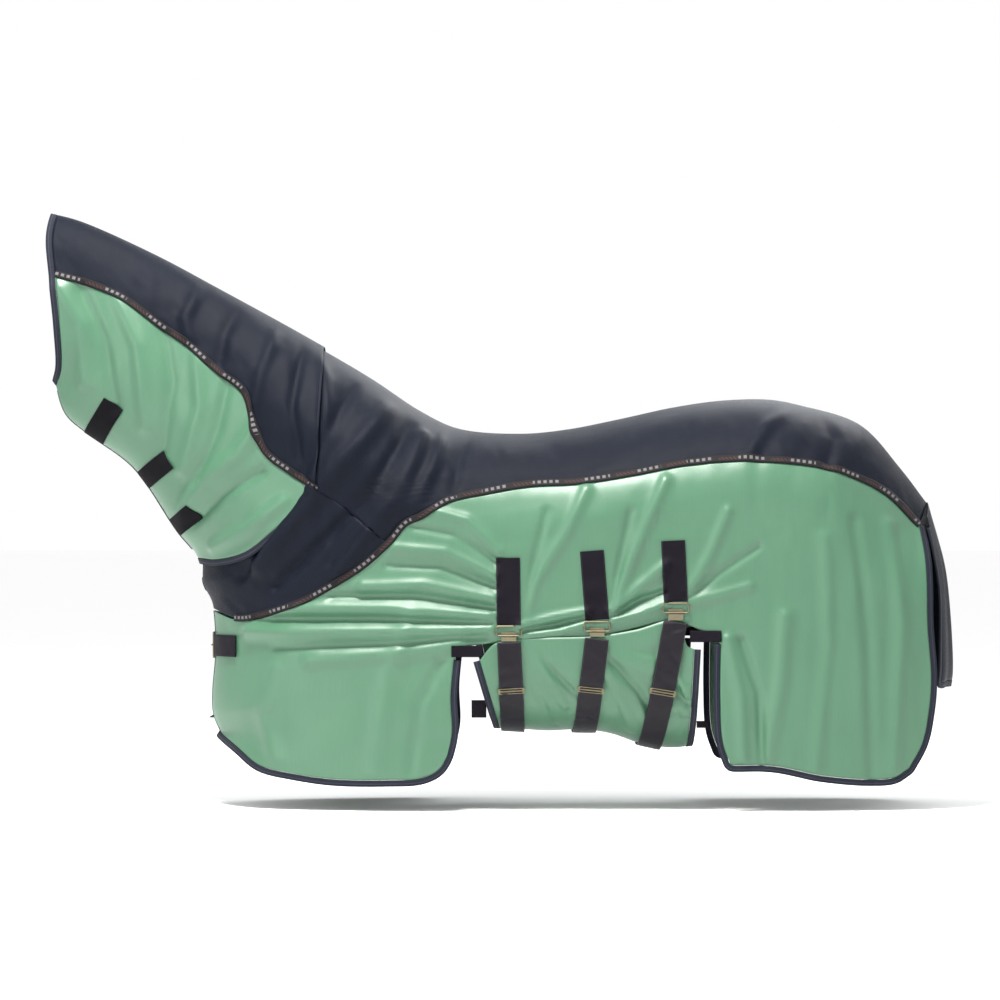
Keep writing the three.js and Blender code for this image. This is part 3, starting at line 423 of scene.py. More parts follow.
# a flat woven band: two layers over a grid of points, with closed sides
def bandPiece(name, grid, out, uv, low, thick, wave, material):
    rows, cols = grid.shape[:2]
    rim = bandSet["rim"] * (np.abs(np.linspace(-1, 1, cols)) > bandSet["rimFrom"])
    outer = grid + out * (low + thick - rim[None] + wave)[..., None]
    inner = grid + out * (low + wave * bandSet["underShare"])[..., None]
    n = rows * cols
    under = gridFaces(rows, cols)
    faces = [under[:, [0, 3, 2, 1]], under + n]
    for first, step, count in ((0, cols, rows), (cols - 1, cols, rows), (0, 1, cols), (n - cols, 1, cols)):
        k = first + np.arange(count - 1) * step
        faces.append(np.stack([k, k + step, k + step + n, k + n], 1))
    points = np.concatenate([outer.reshape(-1, 3), inner.reshape(-1, 3)])
    return makePiece(name, points, np.concatenate(faces).tolist(), np.tile(uv.reshape(-1, 2), (2, 1)), material)


# a skin round rings of points, with end caps unless the rings run in a loop
def skinPiece(name, rings, uv, material, closed):
    n, m = rings.shape[:2]
    faces = gridFaces(n, m, closed, True).tolist()
    if not closed:
        faces += [list(range(m)), [(n - 1) * m + k for k in reversed(range(m))]]
    return makePiece(name, rings.reshape(-1, 3), faces, uv.reshape(-1, 2), material)


def acrossOf(points, out, turn, closed=False):
    before = np.roll(points, 1, 0) if closed else np.vstack([points[:1], points[:-1]])
    after = np.roll(points, -1, 0) if closed else np.vstack([points[1:], points[-1:]])
    return unit(np.cross(unit(after - before), out)) * turn


def fineRun(points, out, step=4.0, closed=False):
    if closed:
        points, out = np.vstack([points, points[:1]]), np.vstack([out, out[:1]])
    run = runAlong(points)
    t = np.linspace(0, run[-1], max(int(run[-1] / step), 4))
    fine, dirs = (np.stack([np.interp(t, run, v[:, k]) for k in range(3)], 1) for v in (points, out))
    dirs = unit(dirs)
    return (fine[:-1], dirs[:-1]) if closed else (fine, dirs)


def softened(points, rounds=2):
    p = points.copy()
    for _ in range(rounds):
        p[1:-1] = (p[:-2] + 2 * p[1:-1] + p[2:]) / 4
    return p


# a flat or folded tape swept along an edge; profile is (across, out) pairs round its section
def sweepPiece(name, points, out, turn, profile, material, closed=False):
    across, prof = acrossOf(points, out, turn, closed), np.array(profile, float)
    rings = points[:, None] + across[:, None] * prof[None, :, :1] + out[:, None] * prof[None, :, 1:]
    uv = np.stack(np.broadcast_arrays(runAlong(points)[:, None], runAlong(prof)[None]), 2)
    return skinPiece(name, rings, uv, material, closed)


def foldProfile(start, stop, low, high, lip):
    mid, half = (low + high) / 2, (high - low) / 2
    turn = [(start + half * (1 - math.cos(a)) * 0.6, mid - half * math.sin(a))
            for a in np.linspace(math.pi / 2, -math.pi / 2, 7)]
    return turn + [(stop * 0.6, high), (stop - 1, high), (stop, high - lip), (stop, low + lip),
                   (stop - 1, low), (stop * 0.6, low)]


# a strap on a line of points, with its own fine crumple
def strapPiece(name, points, out, turn, half, low, thick, material, crumple=0.0, seed=1, columns=10, taper=0):
    s, run = np.linspace(-1, 1, columns + 1), runAlong(points)
    u, v = np.meshgrid(run, s * half, indexing="ij")
    wave = np.zeros(u.shape)
    if crumple:
        fade = smooth(run[-1] - u, 0, 18) * smooth(u, 0, 10)
        upper = 1 - smooth(u, taper * 0.85, taper * 1.05) if taper else 1.0
        pleats = 1.2 * np.abs(drapeNoise(u, v, 26, 70, seed, 0.5)) + 0.7 * drapeNoise(u, v, 15, 44, seed + 1, -0.4)
        wave = crumple * fade * upper * pleats
    grid = points[:, None] + acrossOf(points, out, turn)[:, None] * (s * half)[None, :, None]
    return bandPiece(name, grid, out[:, None], np.stack([u, v], 2), low, thick, wave, material)


# a band laid on the rug: centre line in the side view, following the cloth over its whole width
def rugStrap(name, line, side, half, low, thick, material, drape=bodyHeight, lift=0.0, count=90, columns=10,
             crumple=0.0, seed=1):
    middle = line(np.linspace(0, 1, count))
    along = unit(np.gradient(middle, axis=0))
    across = np.stack([-along[:, 1], along[:, 0]], 1)
    s = np.linspace(-1, 1, columns + 1)
    point, out = onRug(middle[:, None] + across[:, None] * (s * half)[None, :, None], side, lift, drape)
    run = runAlong(point[:, columns // 2])
    u, v = np.meshgrid(run, s * half, indexing="ij")
    wave = crumple * np.abs(drapeNoise(u, v, 22, 60, seed, 0.5)) * smooth(run[-1] - u, 0, 12) * smooth(u, 0, 12)
    return bandPiece(name, point, out, np.stack([u, v], 2), low, thick, wave, material)


def roundedFrame(width, height, corner, steps=6):
    points = []
    for k, (sx, sz) in enumerate([(1, 1), (-1, 1), (-1, -1), (1, -1)]):
        for a in np.linspace(0, math.pi / 2, steps):
            points.append((sx * (width / 2 - corner) + corner * math.cos(a + k * math.pi / 2),
                           sz * (height / 2 - corner) + corner * math.sin(a + k * math.pi / 2)))
    points = np.array(points)
    fine = []
    for a, b in zip(points, np.roll(points, -1, 0)):
        count = max(int(np.linalg.norm(b - a) / 3), 1)
        fine += [a + (b - a) * t for t in np.linspace(0, 1, count, endpoint=False)]
    return np.array(fine)


def nodeBox(node):
    return (np.array(corner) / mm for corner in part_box(node))


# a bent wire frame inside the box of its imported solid, lying along axis and z
def wireFrame(name, node, axis, spokes=12):
    low, high = nodeBox(node)
    shape = roundedFrame(*(high[k] - low[k] - wireSet["inset"] for k in (axis, 2)), wireSet["corner"])
    p = np.tile((low + high) / 2, (len(shape), 1))
    p[:, axis] += shape[:, 0]
    p[:, 2] += shape[:, 1]
    spread = np.linalg.svd(p - p.mean(0))[2][2]
    flat = unit(np.cross(unit(np.roll(p, -1, 0) - np.roll(p, 1, 0)), spread))
    angle = np.linspace(0, 2 * math.pi, spokes, endpoint=False)[None, :, None]
    rings = p[:, None] + wireSet["radius"] * (np.cos(angle) * flat[:, None] + np.sin(angle) * spread)
    return skinPiece(name, rings, np.zeros((len(p), spokes, 2)), brassMat, True)


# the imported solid's own shape with worn, rounded edges
def roundedCopy(name, node, material, width):
    piece = addObject(name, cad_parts[node].data.copy())
    piece.data.materials.clear()
    piece.data.materials.append(material)
    bm = bmesh.new()
    bm.from_mesh(piece.data)
    bmesh.ops.remove_doubles(bm, verts=bm.verts, dist=0.00001)
    bmesh.ops.dissolve_limit(bm, angle_limit=0.02, verts=bm.verts, edges=bm.edges)
    sharp = [e for e in bm.edges if len(e.link_faces) == 2 and e.calc_face_angle() > 0.35]
    bmesh.ops.bevel(bm, geom=sharp, offset=width * mm, segments=2, profile=0.6, affect="EDGES",
                    clamp_overlap=True)
    bmesh.ops.triangulate(bm, faces=bm.faces)
    bm.to_mesh(piece.data)
    bm.free()
    return piece


def place(piece, body, slot, *nodes):
    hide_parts(*nodes)
    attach(piece, body)
    return piece


# materials

class Shade:
    def __init__(self, tree, socket):
        self.tree, self.socket = tree, socket

    def math(self, kind, other, flip=False):
        node = self.tree.nodes.new("ShaderNodeMath")
        node.operation = kind
        pair = (other, self) if flip else (self, other)
        for slot, value in zip(node.inputs, pair):
            feed(self.tree, slot, value)
        return Shade(self.tree, node.outputs[0])

    def __add__(self, other): return self.math("ADD", other)
    def __radd__(self, other): return self.math("ADD", other, True)
    def __sub__(self, other): return self.math("SUBTRACT", other)
    def __rsub__(self, other): return self.math("SUBTRACT", other, True)
    def __mul__(self, other): return self.math("MULTIPLY", other)
    def __rmul__(self, other): return self.math("MULTIPLY", other, True)
    def __truediv__(self, other): return self.math("DIVIDE", other)
    def __rtruediv__(self, other): return self.math("DIVIDE", other, True)
    def over(self, other): return self.math("GREATER_THAN", other)
    def under(self, other): return self.math("LESS_THAN", other)
    def most(self, other): return self.math("MAXIMUM", other)
    def least(self, other): return self.math("MINIMUM", other)
    def repeat(self, period): return (self / period).math("FRACT", 0.0)


def feed(tree, slot, value):
    if isinstance(value, Shade):
        tree.links.new(value.socket, slot)
    elif isinstance(value, tuple) and slot.type == "RGBA":
        slot.default_value = (*value[:3], 1)
    else:
        slot.default_value = value


class Finish:
    def __init__(self, name):
        self.material = bpy.data.materials.new(name)
        self.material.use_nodes = True
        self.tree = self.material.node_tree
        self.tree.nodes.clear()
        self.out = self.tree.nodes.new("ShaderNodeOutputMaterial")
        self.shader = self.tree.nodes.new("ShaderNodeBsdfPrincipled")
        self.tree.links.new(self.shader.outputs[0], self.out.inputs[0])

    def node(self, kind, settings=None, values=None, output=0):
        node = self.tree.nodes.new(kind)
        for key, value in (settings or {}).items():
            setattr(node, key, value)
        for key, value in (values or {}).items():
            feed(self.tree, node.inputs[key], value)
        return Shade(self.tree, node.outputs[output])

    def uv(self):
        return self.node("ShaderNodeTexCoord", output=2)

    def where(self):
        return self.node("ShaderNodeTexCoord", output=3)

    def split(self, vector):
        return [self.node("ShaderNodeSeparateXYZ", values={0: vector}, output=k) for k in range(2)]

    def noise(self, vector, scale, detail=3.0, rough=0.55):
        return self.node("ShaderNodeTexNoise",
                         values={"Vector": vector, "Scale": scale, "Detail": detail, "Roughness": rough})

    def wave(self, vector, scale, direction="X"):
        return self.node("ShaderNodeTexWave", {"bands_direction": direction, "wave_profile": "SIN"},
                         {"Vector": vector, "Scale": scale, "Distortion": 0.0})

    def mix(self, factor, a, b):
        return self.node("ShaderNodeMix", {"data_type": "RGBA"}, {0: factor, 6: a, 7: b}, output=2)

    def bump(self, height, strength, distance):
        return self.node("ShaderNodeBump", values={"Height": height, "Strength": strength, "Distance": distance})

    def set(self, **values):
        names = {"color": "Base Color", "rough": "Roughness", "normal": "Normal", "metal": "Metallic",
                 "sheen": "Sheen Weight", "sheenRough": "Sheen Roughness", "sheenTint": "Sheen Tint",
                 "specular": "Specular IOR Level", "coat": "Coat Weight", "coatRough": "Coat Roughness"}
        for key, value in values.items():
            feed(self.tree, self.shader.inputs[names[key]], value)
        return self.material


def navyFinish():
    look = {"deep": (0.002, 0.0028, 0.0058), "lit": (0.0055, 0.0075, 0.0145), "pick": (0.014, 0.018, 0.029),
            "cell": 0.0055}
    f = Finish("navyCloth")
    uv = f.uv()
    u, v = f.split(uv)
    large = f.noise(f.where(), 5.0, 4.0)
    fine = f.noise(f.where(), 160.0, 2.0)
    rip = u.repeat(look["cell"]).under(0.12).most(v.repeat(look["cell"]).under(0.12))
    weave = f.wave(uv, 620.0, "X") * f.wave(uv, 620.0, "Y")
    color = f.mix(large, look["deep"], look["lit"])
    color = f.mix(rip * 0.55, color, look["pick"])
    color = f.mix(fine * 0.25, color, look["lit"])
    normal = f.bump(weave * 0.5 + rip * 0.6 + fine * 0.5, 0.35, 0.0006)
    return f.set(color=color, rough=0.42 + large * 0.12, normal=normal, sheen=0.0, sheenRough=0.4,
                 specular=0.08)


def mintFinish():
    look = {"shade": (0.036, 0.110, 0.060), "lit": (0.054, 0.148, 0.083), "thread": (0.10, 0.22, 0.138)}
    f = Finish("mintMesh")
    uv = f.uv()
    large = f.noise(f.where(), 4.0, 4.0)
    cells = f.node("ShaderNodeTexVoronoi", {"feature": "DISTANCE_TO_EDGE"},
                   {"Vector": uv, "Scale": 520.0, "Randomness": 0.35})
    # painted shade: the low grooves round the mesh cells are painted darker, toward the shade colour
    gapShade = cells.under(0.22)
    drawn = f.node("ShaderNodeMapping", values={"Vector": uv, "Scale": (900.0, 12.0, 1.0)})
    slub = f.node("ShaderNodeTexNoise", values={"Vector": drawn, "Scale": 1.0, "Detail": 2.0})
    color = f.mix(large, look["shade"], look["lit"])
    color = f.mix(slub * 0.35, color, look["thread"])
    color = f.mix(gapShade * 0.18, color, look["shade"])
    normal = f.bump(cells * 1.4 + slub * 0.6, 0.22, 0.0008)
    return f.set(color=color, rough=0.33 + large * 0.1, normal=normal, sheen=0.05, sheenRough=0.35,
                 sheenTint=(0.7, 1.0, 0.82), specular=0.55)


def bindingFinish():
    look = {"base": (0.007, 0.008, 0.014), "pale": (0.015, 0.018, 0.029), "stitch": (0.04, 0.043, 0.058)}
    f = Finish("edgeBinding")
    uv = f.uv()
    u, v = f.split(uv)
    rib = f.wave(uv, 260.0, "X")
    worn = f.noise(f.where(), 22.0, 4.0)
    line = u.repeat(0.0042).under(0.62) * v.over(0.0125) * v.under(0.0142)
    color = f.mix(worn, look["base"], look["pale"])
    color = f.mix(line, color, look["stitch"])
    normal = f.bump(rib * 0.7 + line * 1.2 + worn * 0.4, 0.4, 0.0006)
    return f.set(color=color, rough=0.62 + worn * 0.15, normal=normal, sheen=0.02, sheenRough=0.5,
                 specular=0.14)


def tapeFinish():
    look = {"ground": (0.009, 0.0075, 0.0085), "pale": (0.20, 0.19, 0.20), "warm": (0.09, 0.035, 0.03),
            "edge": (0.004, 0.004, 0.006)}
    f = Finish("wovenTape")
    uv = f.uv()
    u, v = f.split(uv)
    stripe = u.repeat(0.118)
    small = u.repeat(0.0135)
    slant = (u / 0.009 + v / 0.009).math("FRACT", 0.0).under(0.5)
    inner = v.over(-0.0022) * v.under(0.0042)
    bars = stripe.under(0.5) * small.under(0.55) * inner
    diamonds = stripe.over(0.62) * slant * v.over(-0.003) * v.under(0.003)
    rim = v.under(-0.0045).most(v.over(0.0066))
    color = f.mix(bars * 0.7, look["ground"], look["pale"])
    color = f.mix(diamonds * 0.5, color, look["warm"])
    color = f.mix(rim, color, look["edge"])
    weave = f.wave(uv, 420.0, "X") * 0.5 + f.wave(uv, 300.0, "Y") * 0.5
    worn = f.noise(f.where(), 40.0, 3.0)
    color = f.mix(worn * 0.3, color, look["ground"])
    normal = f.bump(weave + bars * 0.5, 0.35, 0.0006)
    return f.set(color=color, rough=0.6 + worn * 0.1, normal=normal, sheen=0.02, sheenRough=0.5, specular=0.15)


def webbingFinish(name="darkWebbing", satin=0.0):
    look = {"base": (0.0022, 0.0016, 0.0032), "pale": (0.007, 0.005, 0.010), "stitch": (0.05, 0.045, 0.06)}
    f = Finish(name)
    uv = f.uv()
    u, v = f.split(uv)
    rib = f.wave(uv, 190.0, "X")
    fineRib = f.wave(uv, 330.0, "Y")
    worn = f.noise(f.where(), 16.0, 4.0)
    fray = f.noise(f.where(), 320.0, 2.0)
    off = v.math("ABSOLUTE", 0.0)
    rim = off.over(0.0243) * off.under(0.0256)
    dash = u.repeat(0.0045).under(0.6)
    color = f.mix(worn, look["base"], look["pale"])
    color = f.mix(fray * 0.3, color, look["pale"])
    color = f.mix(rim * dash * 0.6, color, look["stitch"])
    normal = f.bump(rib * 0.6 + fineRib * 0.4 + fray * 0.3 + rim * dash, 0.4, 0.0007)
    return f.set(color=color, rough=(0.5 - satin * 0.16) + worn * 0.16, normal=normal, sheen=0.01,
                 sheenRough=0.45, specular=0.09 + satin * 0.11)


def hookLoopFinish():
    look = {"base": (0.0012, 0.001, 0.0018), "pale": (0.005, 0.0042, 0.0065)}
    f = Finish("hookAndLoop")
    pile = f.noise(f.where(), 700.0, 3.0)
    tuft = f.node("ShaderNodeTexVoronoi", values={"Vector": f.where(), "Scale": 520.0})
    color = f.mix(pile, look["base"], look["pale"])
    normal = f.bump(pile + tuft * 0.8, 0.6, 0.0012)
    return f.set(color=color, rough=0.85, normal=normal, sheen=0.02, sheenRough=0.6, specular=0.08)


def brassFinish():
    look = {"metal": (0.19, 0.165, 0.10), "dull": (0.06, 0.052, 0.032), "rub": (0.36, 0.33, 0.23)}
    f = Finish("brassHardware")
    cloud = f.noise(f.where(), 90.0, 4.0)
    fine = f.noise(f.where(), 900.0, 2.0)
    edge = f.node("ShaderNodeNewGeometry", output=7)
    rub = ((edge - 0.5) * 6.0).most(0.0).least(1.0)
    color = f.mix(cloud, look["dull"], look["metal"])
    color = f.mix(rub * 0.7, color, look["rub"])
    return f.set(color=color, rough=0.3 + cloud * 0.22, metal=0.92, normal=f.bump(fine, 0.12, 0.0003))


navy, mint, bindingMat, tapeMat = navyFinish(), mintFinish(), bindingFinish(), tapeFinish()
webbingMat, satinMat = webbingFinish(), webbingFinish("satinWebbing", 1.0)
hookLoopMat, brassMat = hookLoopFinish(), brassFinish()
print("materials made")

# panels of the body

rugSides = [("left", -1), ("right", 1)]
frontClear = 15.4  # the two fronts keep this far from the middle
yokeSet = {"under": 26.0, "throatShare": 0.8, "forward": 0.62, "upward": 0.78, "clear": 0.4}


def coons(bottom, top, left, right, cols, rows, easeU=lambda t: t, easeV=lambda t: t):
    u = easeU(np.linspace(0, 1, cols + 1))
    v = easeV(np.linspace(0, 1, rows + 1)) if np.isscalar(rows) else np.array(rows)
    uu, vv = np.meshgrid(u, v)
    uu, vv = uu[..., None], vv[..., None]
    b, t, l, r = bottom(u)[None], top(u)[None], left(v)[:, None], right(v)[:, None]
    p00, p10, p01, p11 = (line(np.array(end)) for line in (bottom, top) for end in (0.0, 1.0))
    return ((1 - vv) * b + vv * t + (1 - uu) * l + uu * r - (1 - uu) * (1 - vv) * p00 - uu * (1 - vv) * p10
            - (1 - uu) * vv * p01 - uu * vv * p11)


def closeStart(t): return 1 - np.cos(t * math.pi / 2)
def closeEnd(t): return np.sin(t * math.pi / 2)


topFrom = shareAt(topLine, 0, -457)
seamSplit = shareAt(bodySeam, 0, -299)
crestFoot = np.array([-457.0, -129.0])
splitPoint, crestTop = bodySeam(seamSplit), topLine(topFrom)
backFront = joined(straight(splitPoint, crestFoot), straight(crestFoot, crestTop), 0.35)
backRear = straight(bodySeam(1), topLine(1))


def overTop(shape, lift, drape):
    near, outN = onRug(shape, -1, lift, drape)
    off, outF = onRug(shape[::-1][1:], 1, lift, drape)
    near[-1, :, 1] = 0
    grid = np.concatenate([near, off])
    out = np.concatenate([outN, outF])
    out[len(near) - 1, :, 1] = 0
    return grid, unit(out)


backGrid = coons(partOf(bodySeam, seamSplit, 1), partOf(topLine, topFrom, 1), backFront, backRear, 190, 46,
                 easeV=closeEnd)
backPanel = clothPiece("backPanel", [overTop(backGrid, 0, bodyHeight)], navy)
place(backPanel, "root", "navy_cloth", "back_panel")
print("back panel made")

throatUnder = shareAt(throatLine, 1, -285 + yokeSet["under"] * yokeSet["throatShare"])
seamStart = shareAt(throatLine, 1, -405)
yokeCorner = crestFoot + unit(crestFoot - splitPoint) * yokeSet["under"]
hemUnder = moved(neckHem, -yokeSet["under"] * yokeSet["forward"], yokeSet["under"] * yokeSet["upward"])


def yokeTop(t):
    t = np.asarray(t, float)
    return hemUnder(t) + (yokeCorner - hemUnder(np.array(1.0))) * (t ** 2)[..., None]


yokeGrid = coons(partOf(bodySeam, 0, seamSplit), yokeTop, partOf(throatLine, seamStart, throatUnder),
                 straight(splitPoint, yokeCorner), 90, 50, easeU=closeStart)
for name, side in rugSides:
    piece = clothPiece(name + "Yoke", [onRug(yokeGrid, side, keepOff=yokeSet["clear"])], navy)
    place(piece, "root", "navy_cloth", name + "_yoke")

slotEnd = 1 / 3  # share of a slot's side below its corner
seamEdge = moved(bodySeam, 0, -6)
slotFront, slotRear = np.array([-121.0, -485.0]), np.array([421.0, -455.0])
frontSeam, rearSeam = shareAt(bodySeam, 0, slotFront[0]), shareAt(bodySeam, 0, slotRear[0])
chestTop = shareAt(throatLine, 1, -411)
frontHem = sideLine([[-695, -680], [-650, -712], [-596, -752], [-520, -770], [-430, -783], [-300, -786],
                     [-225, -783], [-185, -765], [-166, -735]])
frontSlot = joined(sideLine([[-166, -735], [-155, -683], [-158, -600], [-151, -516]]),
                   alongLine([[-151, -516], [-136, -499], slotFront, seamEdge(frontSeam)]), slotEnd)
hindSlot = joined(sideLine([[476, -755], [458, -700], [453, -605], [454, -482]]),
                  alongLine([[454, -482], [440, -464], slotRear, seamEdge(rearSeam)]), slotEnd)
hindHem = sideLine([[476, -755], [575, -757], [685, -779], [800, -789], [850, -785], [885, -765]])
flankHems = {-1: sideLine([slotFront, [-26, -474], [172, -463], [350, -430], slotRear]),
             1: alongLine([slotFront, [150, -480], slotRear])}
frontLeft = partOf(throatLine, 1, chestTop)
quarter = {"columns": 120, "slotRows": 34, "cornerRows": 8, "upperRows": 60, "flankColumns": 104}


def slotShares(line, corner):
    t = np.linspace(slotEnd, 1, 4001)
    bend = t[np.argmin(np.linalg.norm(line(t) - corner, axis=1))]
    return bend, np.concatenate([np.linspace(0, slotEnd, quarter["slotRows"] + 1),
                                 np.linspace(slotEnd, bend, quarter["cornerRows"] + 1)[1:],
                                 np.linspace(bend, 1, quarter["upperRows"] + 1)[1:]])


frontBend, frontRows = slotShares(frontSlot, slotFront)
hindBend, hindRows = slotShares(hindSlot, slotRear)
frontGrid = coons(frontHem, partOf(seamEdge, 0, frontSeam), frontLeft, frontSlot, quarter["columns"],
                  frontRows, easeU=closeStart)
hindGrid = coons(hindHem, partOf(seamEdge, rearSeam, 1), hindSlot, partOf(rearEdge, 1, 0),
                 quarter["columns"], hindRows)
for name, side in rugSides:
    flankGrid = coons(flankHems[side], partOf(seamEdge, frontSeam, rearSeam), partOf(frontSlot, frontBend, 1),
                      partOf(hindSlot, hindBend, 1), quarter["flankColumns"], quarter["upperRows"])
    flankGrid[:, 0], flankGrid[:, -1] = frontGrid[-len(flankGrid):, -1], hindGrid[-len(flankGrid):, 0]
    grids = [onRug(grid, side, keepOff=keep)
             for grid, keep in ((frontGrid, frontClear), (flankGrid, 0), (hindGrid, 0))]
    piece = clothPiece(name + "Side", grids, mint)
    place(piece, "root", "mint_mesh", name + "_front_quarter", name + "_flank", name + "_hind_quarter")
print("sides made")

# neck cover

neckSet = {"lift": 8.0, "rows": 44, "columns": 120, "inset": 15.0, "clear": 1.2}
crestStart = shareAt(headLine, 1, 370)


def headInset(share):
    return neckSet["inset"] * (1 - share) ** 6


def inFrom(grid):
    grid[..., 0] += headInset(np.linspace(0, 1, grid.shape[1]))
    return grid


crestGrid = inFrom(coons(neckSeam, partOf(topLine, 0, topFrom), partOf(headLine, crestStart, 1),
                         straight(crestFoot, crestTop), neckSet["columns"], neckSet["rows"], easeV=closeEnd))
overLine = crestGrid[-1, :, 1] - np.interp(crestGrid[-1, :, 0], topSamples[:, 0], topSamples[:, 1])
crestGrid[..., 1] -= overLine * np.linspace(0, 1, len(crestGrid))[:, None]  # the top row stays on the outline
neckCrest = clothPiece("neckCrest", [overTop(crestGrid, neckSet["lift"], neckHeight)], navy)
place(neckCrest, "root", "navy_cloth", "neck_crest")
throatEnd = shareAt(throatLine, 1, -285)
sideStart = shareAt(headLine, 1, 364)


def hemToSeam(t):
    t = np.asarray(t, float)
    return neckHem(t) - np.array([3.0, 6.0]) * (t ** 8)[..., None]


neckGrid = inFrom(coons(partOf(throatLine, 0, throatEnd), moved(neckSeam, -3, -6), partOf(headLine, 0, sideStart),
                        hemToSeam, neckSet["columns"], 60, easeV=closeStart))
for name, side in rugSides:
    grid = onRug(neckGrid, side, neckSet["lift"], neckHeight, neckSet["clear"])
    piece = clothPiece(name + "NeckSide", [grid], mint)
    place(piece, "root", "mint_mesh", name + "_neck_side")
print("neck cover made")

# tapes over the seams

tapeSet = {"half": 8.0, "low": 1.2, "thick": 1.5}
for name, side in rugSides:
    for label, line, start, lift, drape in (("body", bodySeam, shareAt(bodySeam, 0, -655), 0, bodyHeight),
                                            ("neck", neckSeam, 0.02, neckSet["lift"], neckHeight)):
        piece = rugStrap(name + label.title() + "Tape", partOf(line, start, 1), side, tapeSet["half"], tapeSet["low"],
                         tapeSet["thick"], tapeMat, drape, lift, count=420, columns=6)
        place(piece, "root", "woven_tape", name + "_" + label + "_tape")

# bindings

bindSet = {"start": 0.4, "stop": 15.0, "low": -4.0, "high": 1.0, "lip": 0.5}
bindProfile = foldProfile(**bindSet)


def edgePath(grid, side, up, down, keep):
    rows = {1: len(grid) - 1, 0: quarter["slotRows"]}
    path = np.concatenate([grid[:rows[up] + 1, 0][::-1], grid[0, 1:-1], grid[:rows[down] + 1, -1]])
    return fineRun(*onRug(path, side, keepOff=keep))


for name, side in rugSides:
    for label, grid, up, down, keep, rounds in (("front", frontGrid, 1, 0, frontClear, 10),
                                                ("hind", hindGrid, 0, 1, 0, 2)):
        points, out = edgePath(grid, side, up, down, keep)
        piece = sweepPiece(name + label.title() + "Binding", softened(points, rounds), out, -side, bindProfile,
                           bindingMat)
        place(piece, "root", "edge_binding", name + "_" + label + "_binding")


def acrossCentre(line, count, lift, drape):
    near, outN = onRug(line(closeEnd(np.linspace(0, 1, count))), -1, lift, drape)
    near[-1, 1] = 0
    outN[-1, 1] = 0
    off, outF = near[:-1][::-1] * [1, -1, 1], outN[:-1][::-1] * [1, -1, 1]
    points, out = np.concatenate([near, off]), np.concatenate([outN, outF])
    return points, unit(out)


half = (1 - np.cos(np.linspace(0, 1, 90) * math.pi)) / 2
headNear, headOut = onRug(moved(headLine, neckSet["inset"], 0)(half), -1, neckSet["lift"], neckHeight)
for k in (0, -1):
    headNear[k, 1] = 0
    headOut[k, 1] = 0
headPoints = np.concatenate([headNear, headNear[1:-1][::-1] * [1, -1, 1]])
headOuts = np.concatenate([headOut, headOut[1:-1][::-1] * [1, -1, 1]])
headPoints, headOuts = fineRun(headPoints, unit(headOuts), closed=True)
piece = sweepPiece("headBinding", headPoints, headOuts, -1, bindProfile, bindingMat, closed=True)
place(piece, "root", "edge_binding", "head_binding")
hemPoints, hemOut = acrossCentre(lambda t: neckHem(0.94 * (1 - t)), 160, neckSet["lift"], neckHeight)
hemPoints, hemOut = fineRun(softened(hemPoints), hemOut)
piece = sweepPiece("neckHemBinding", hemPoints, hemOut, -1, bindProfile, bindingMat)
place(piece, "root", "edge_binding", "neck_hem_binding")
throatRun = 0.02 + 0.93 * np.linspace(0, 1, 120)
throat = throatLine(throatEnd * throatRun)
throat[:, 0] += headInset(throatRun)
_, throatOut, _ = surface(throat, -1)
throatOut = unit(throatOut * [1, 0, 1])
throatPoints = np.stack([throat[:, 0], np.zeros(len(throat)), throat[:, 1]], 1) + throatOut * neckSet["lift"]
throatPoints, throatOut = fineRun(throatPoints, throatOut)
piece = strapPiece("throatBinding", throatPoints, throatOut, 1, 8, 0.8, 1.5, bindingMat, columns=6)
place(piece, "root", "edge_binding", "throat_binding")
print("bindings made")

# hook-and-loop tabs of the neck

tabSet = {"thick": 2.2, "crumple": 0.5, "from": 0.16}
neckTabs = [("upper", -984, 88, 52, 0.8, 3), ("middle", -866, 74, 48, 2, 4), ("lower", -794, 62, 44, 0.6, 5)]
for name, x, length, width, stand, seed in neckTabs:
    foot = throatLine(shareAt(throatLine, 0, x))
    _, out, _ = surface(foot, -1)
    inward = -out[[0, 2]] / np.linalg.norm(out[[0, 2]])
    reachIn = math.acos(1 - length / bodyForm["chestDepth"])
    turned = lambda t: tabSet["from"] + (reachIn - tabSet["from"]) * t
    line = lambda t: foot + inward * (bodyForm["chestDepth"] * (1 - np.cos(turned(t))))[:, None]
    piece = rugStrap("neckTab" + name.title(), line, -1, width / 2, stand + 0.8, tabSet["thick"], hookLoopMat,
                     neckHeight, neckSet["lift"], count=60, columns=14, crumple=tabSet["crumple"], seed=seed)
    place(piece, "tab_" + name, "hook_and_loop", "neck_tab_" + name)

# belly flap

flapSet = {"power": 2 / 3, "seam": -482.0, "half": 300.0, "lift": 4.6, "columns": 110, "rows": 190, "crest": 4.6,
           "front": -92.0, "length": 486.0, "frontDraw": 47.0, "rearDraw": 12.0}
flapEdge = sideLine([[-92, -517], [-62, -482], [-26, -470], [60, -466], [172, -462], [260, -448], [350, -426],
                     [366, -446], [378, -484], [394, -492]])
flapBottom = sideLine([[-62, -680], [60, -687], [179, -688], [271, -714], [340, -727], [392, -723]])
edgeRun, bottomRun = flapEdge(shares), flapBottom(shares)
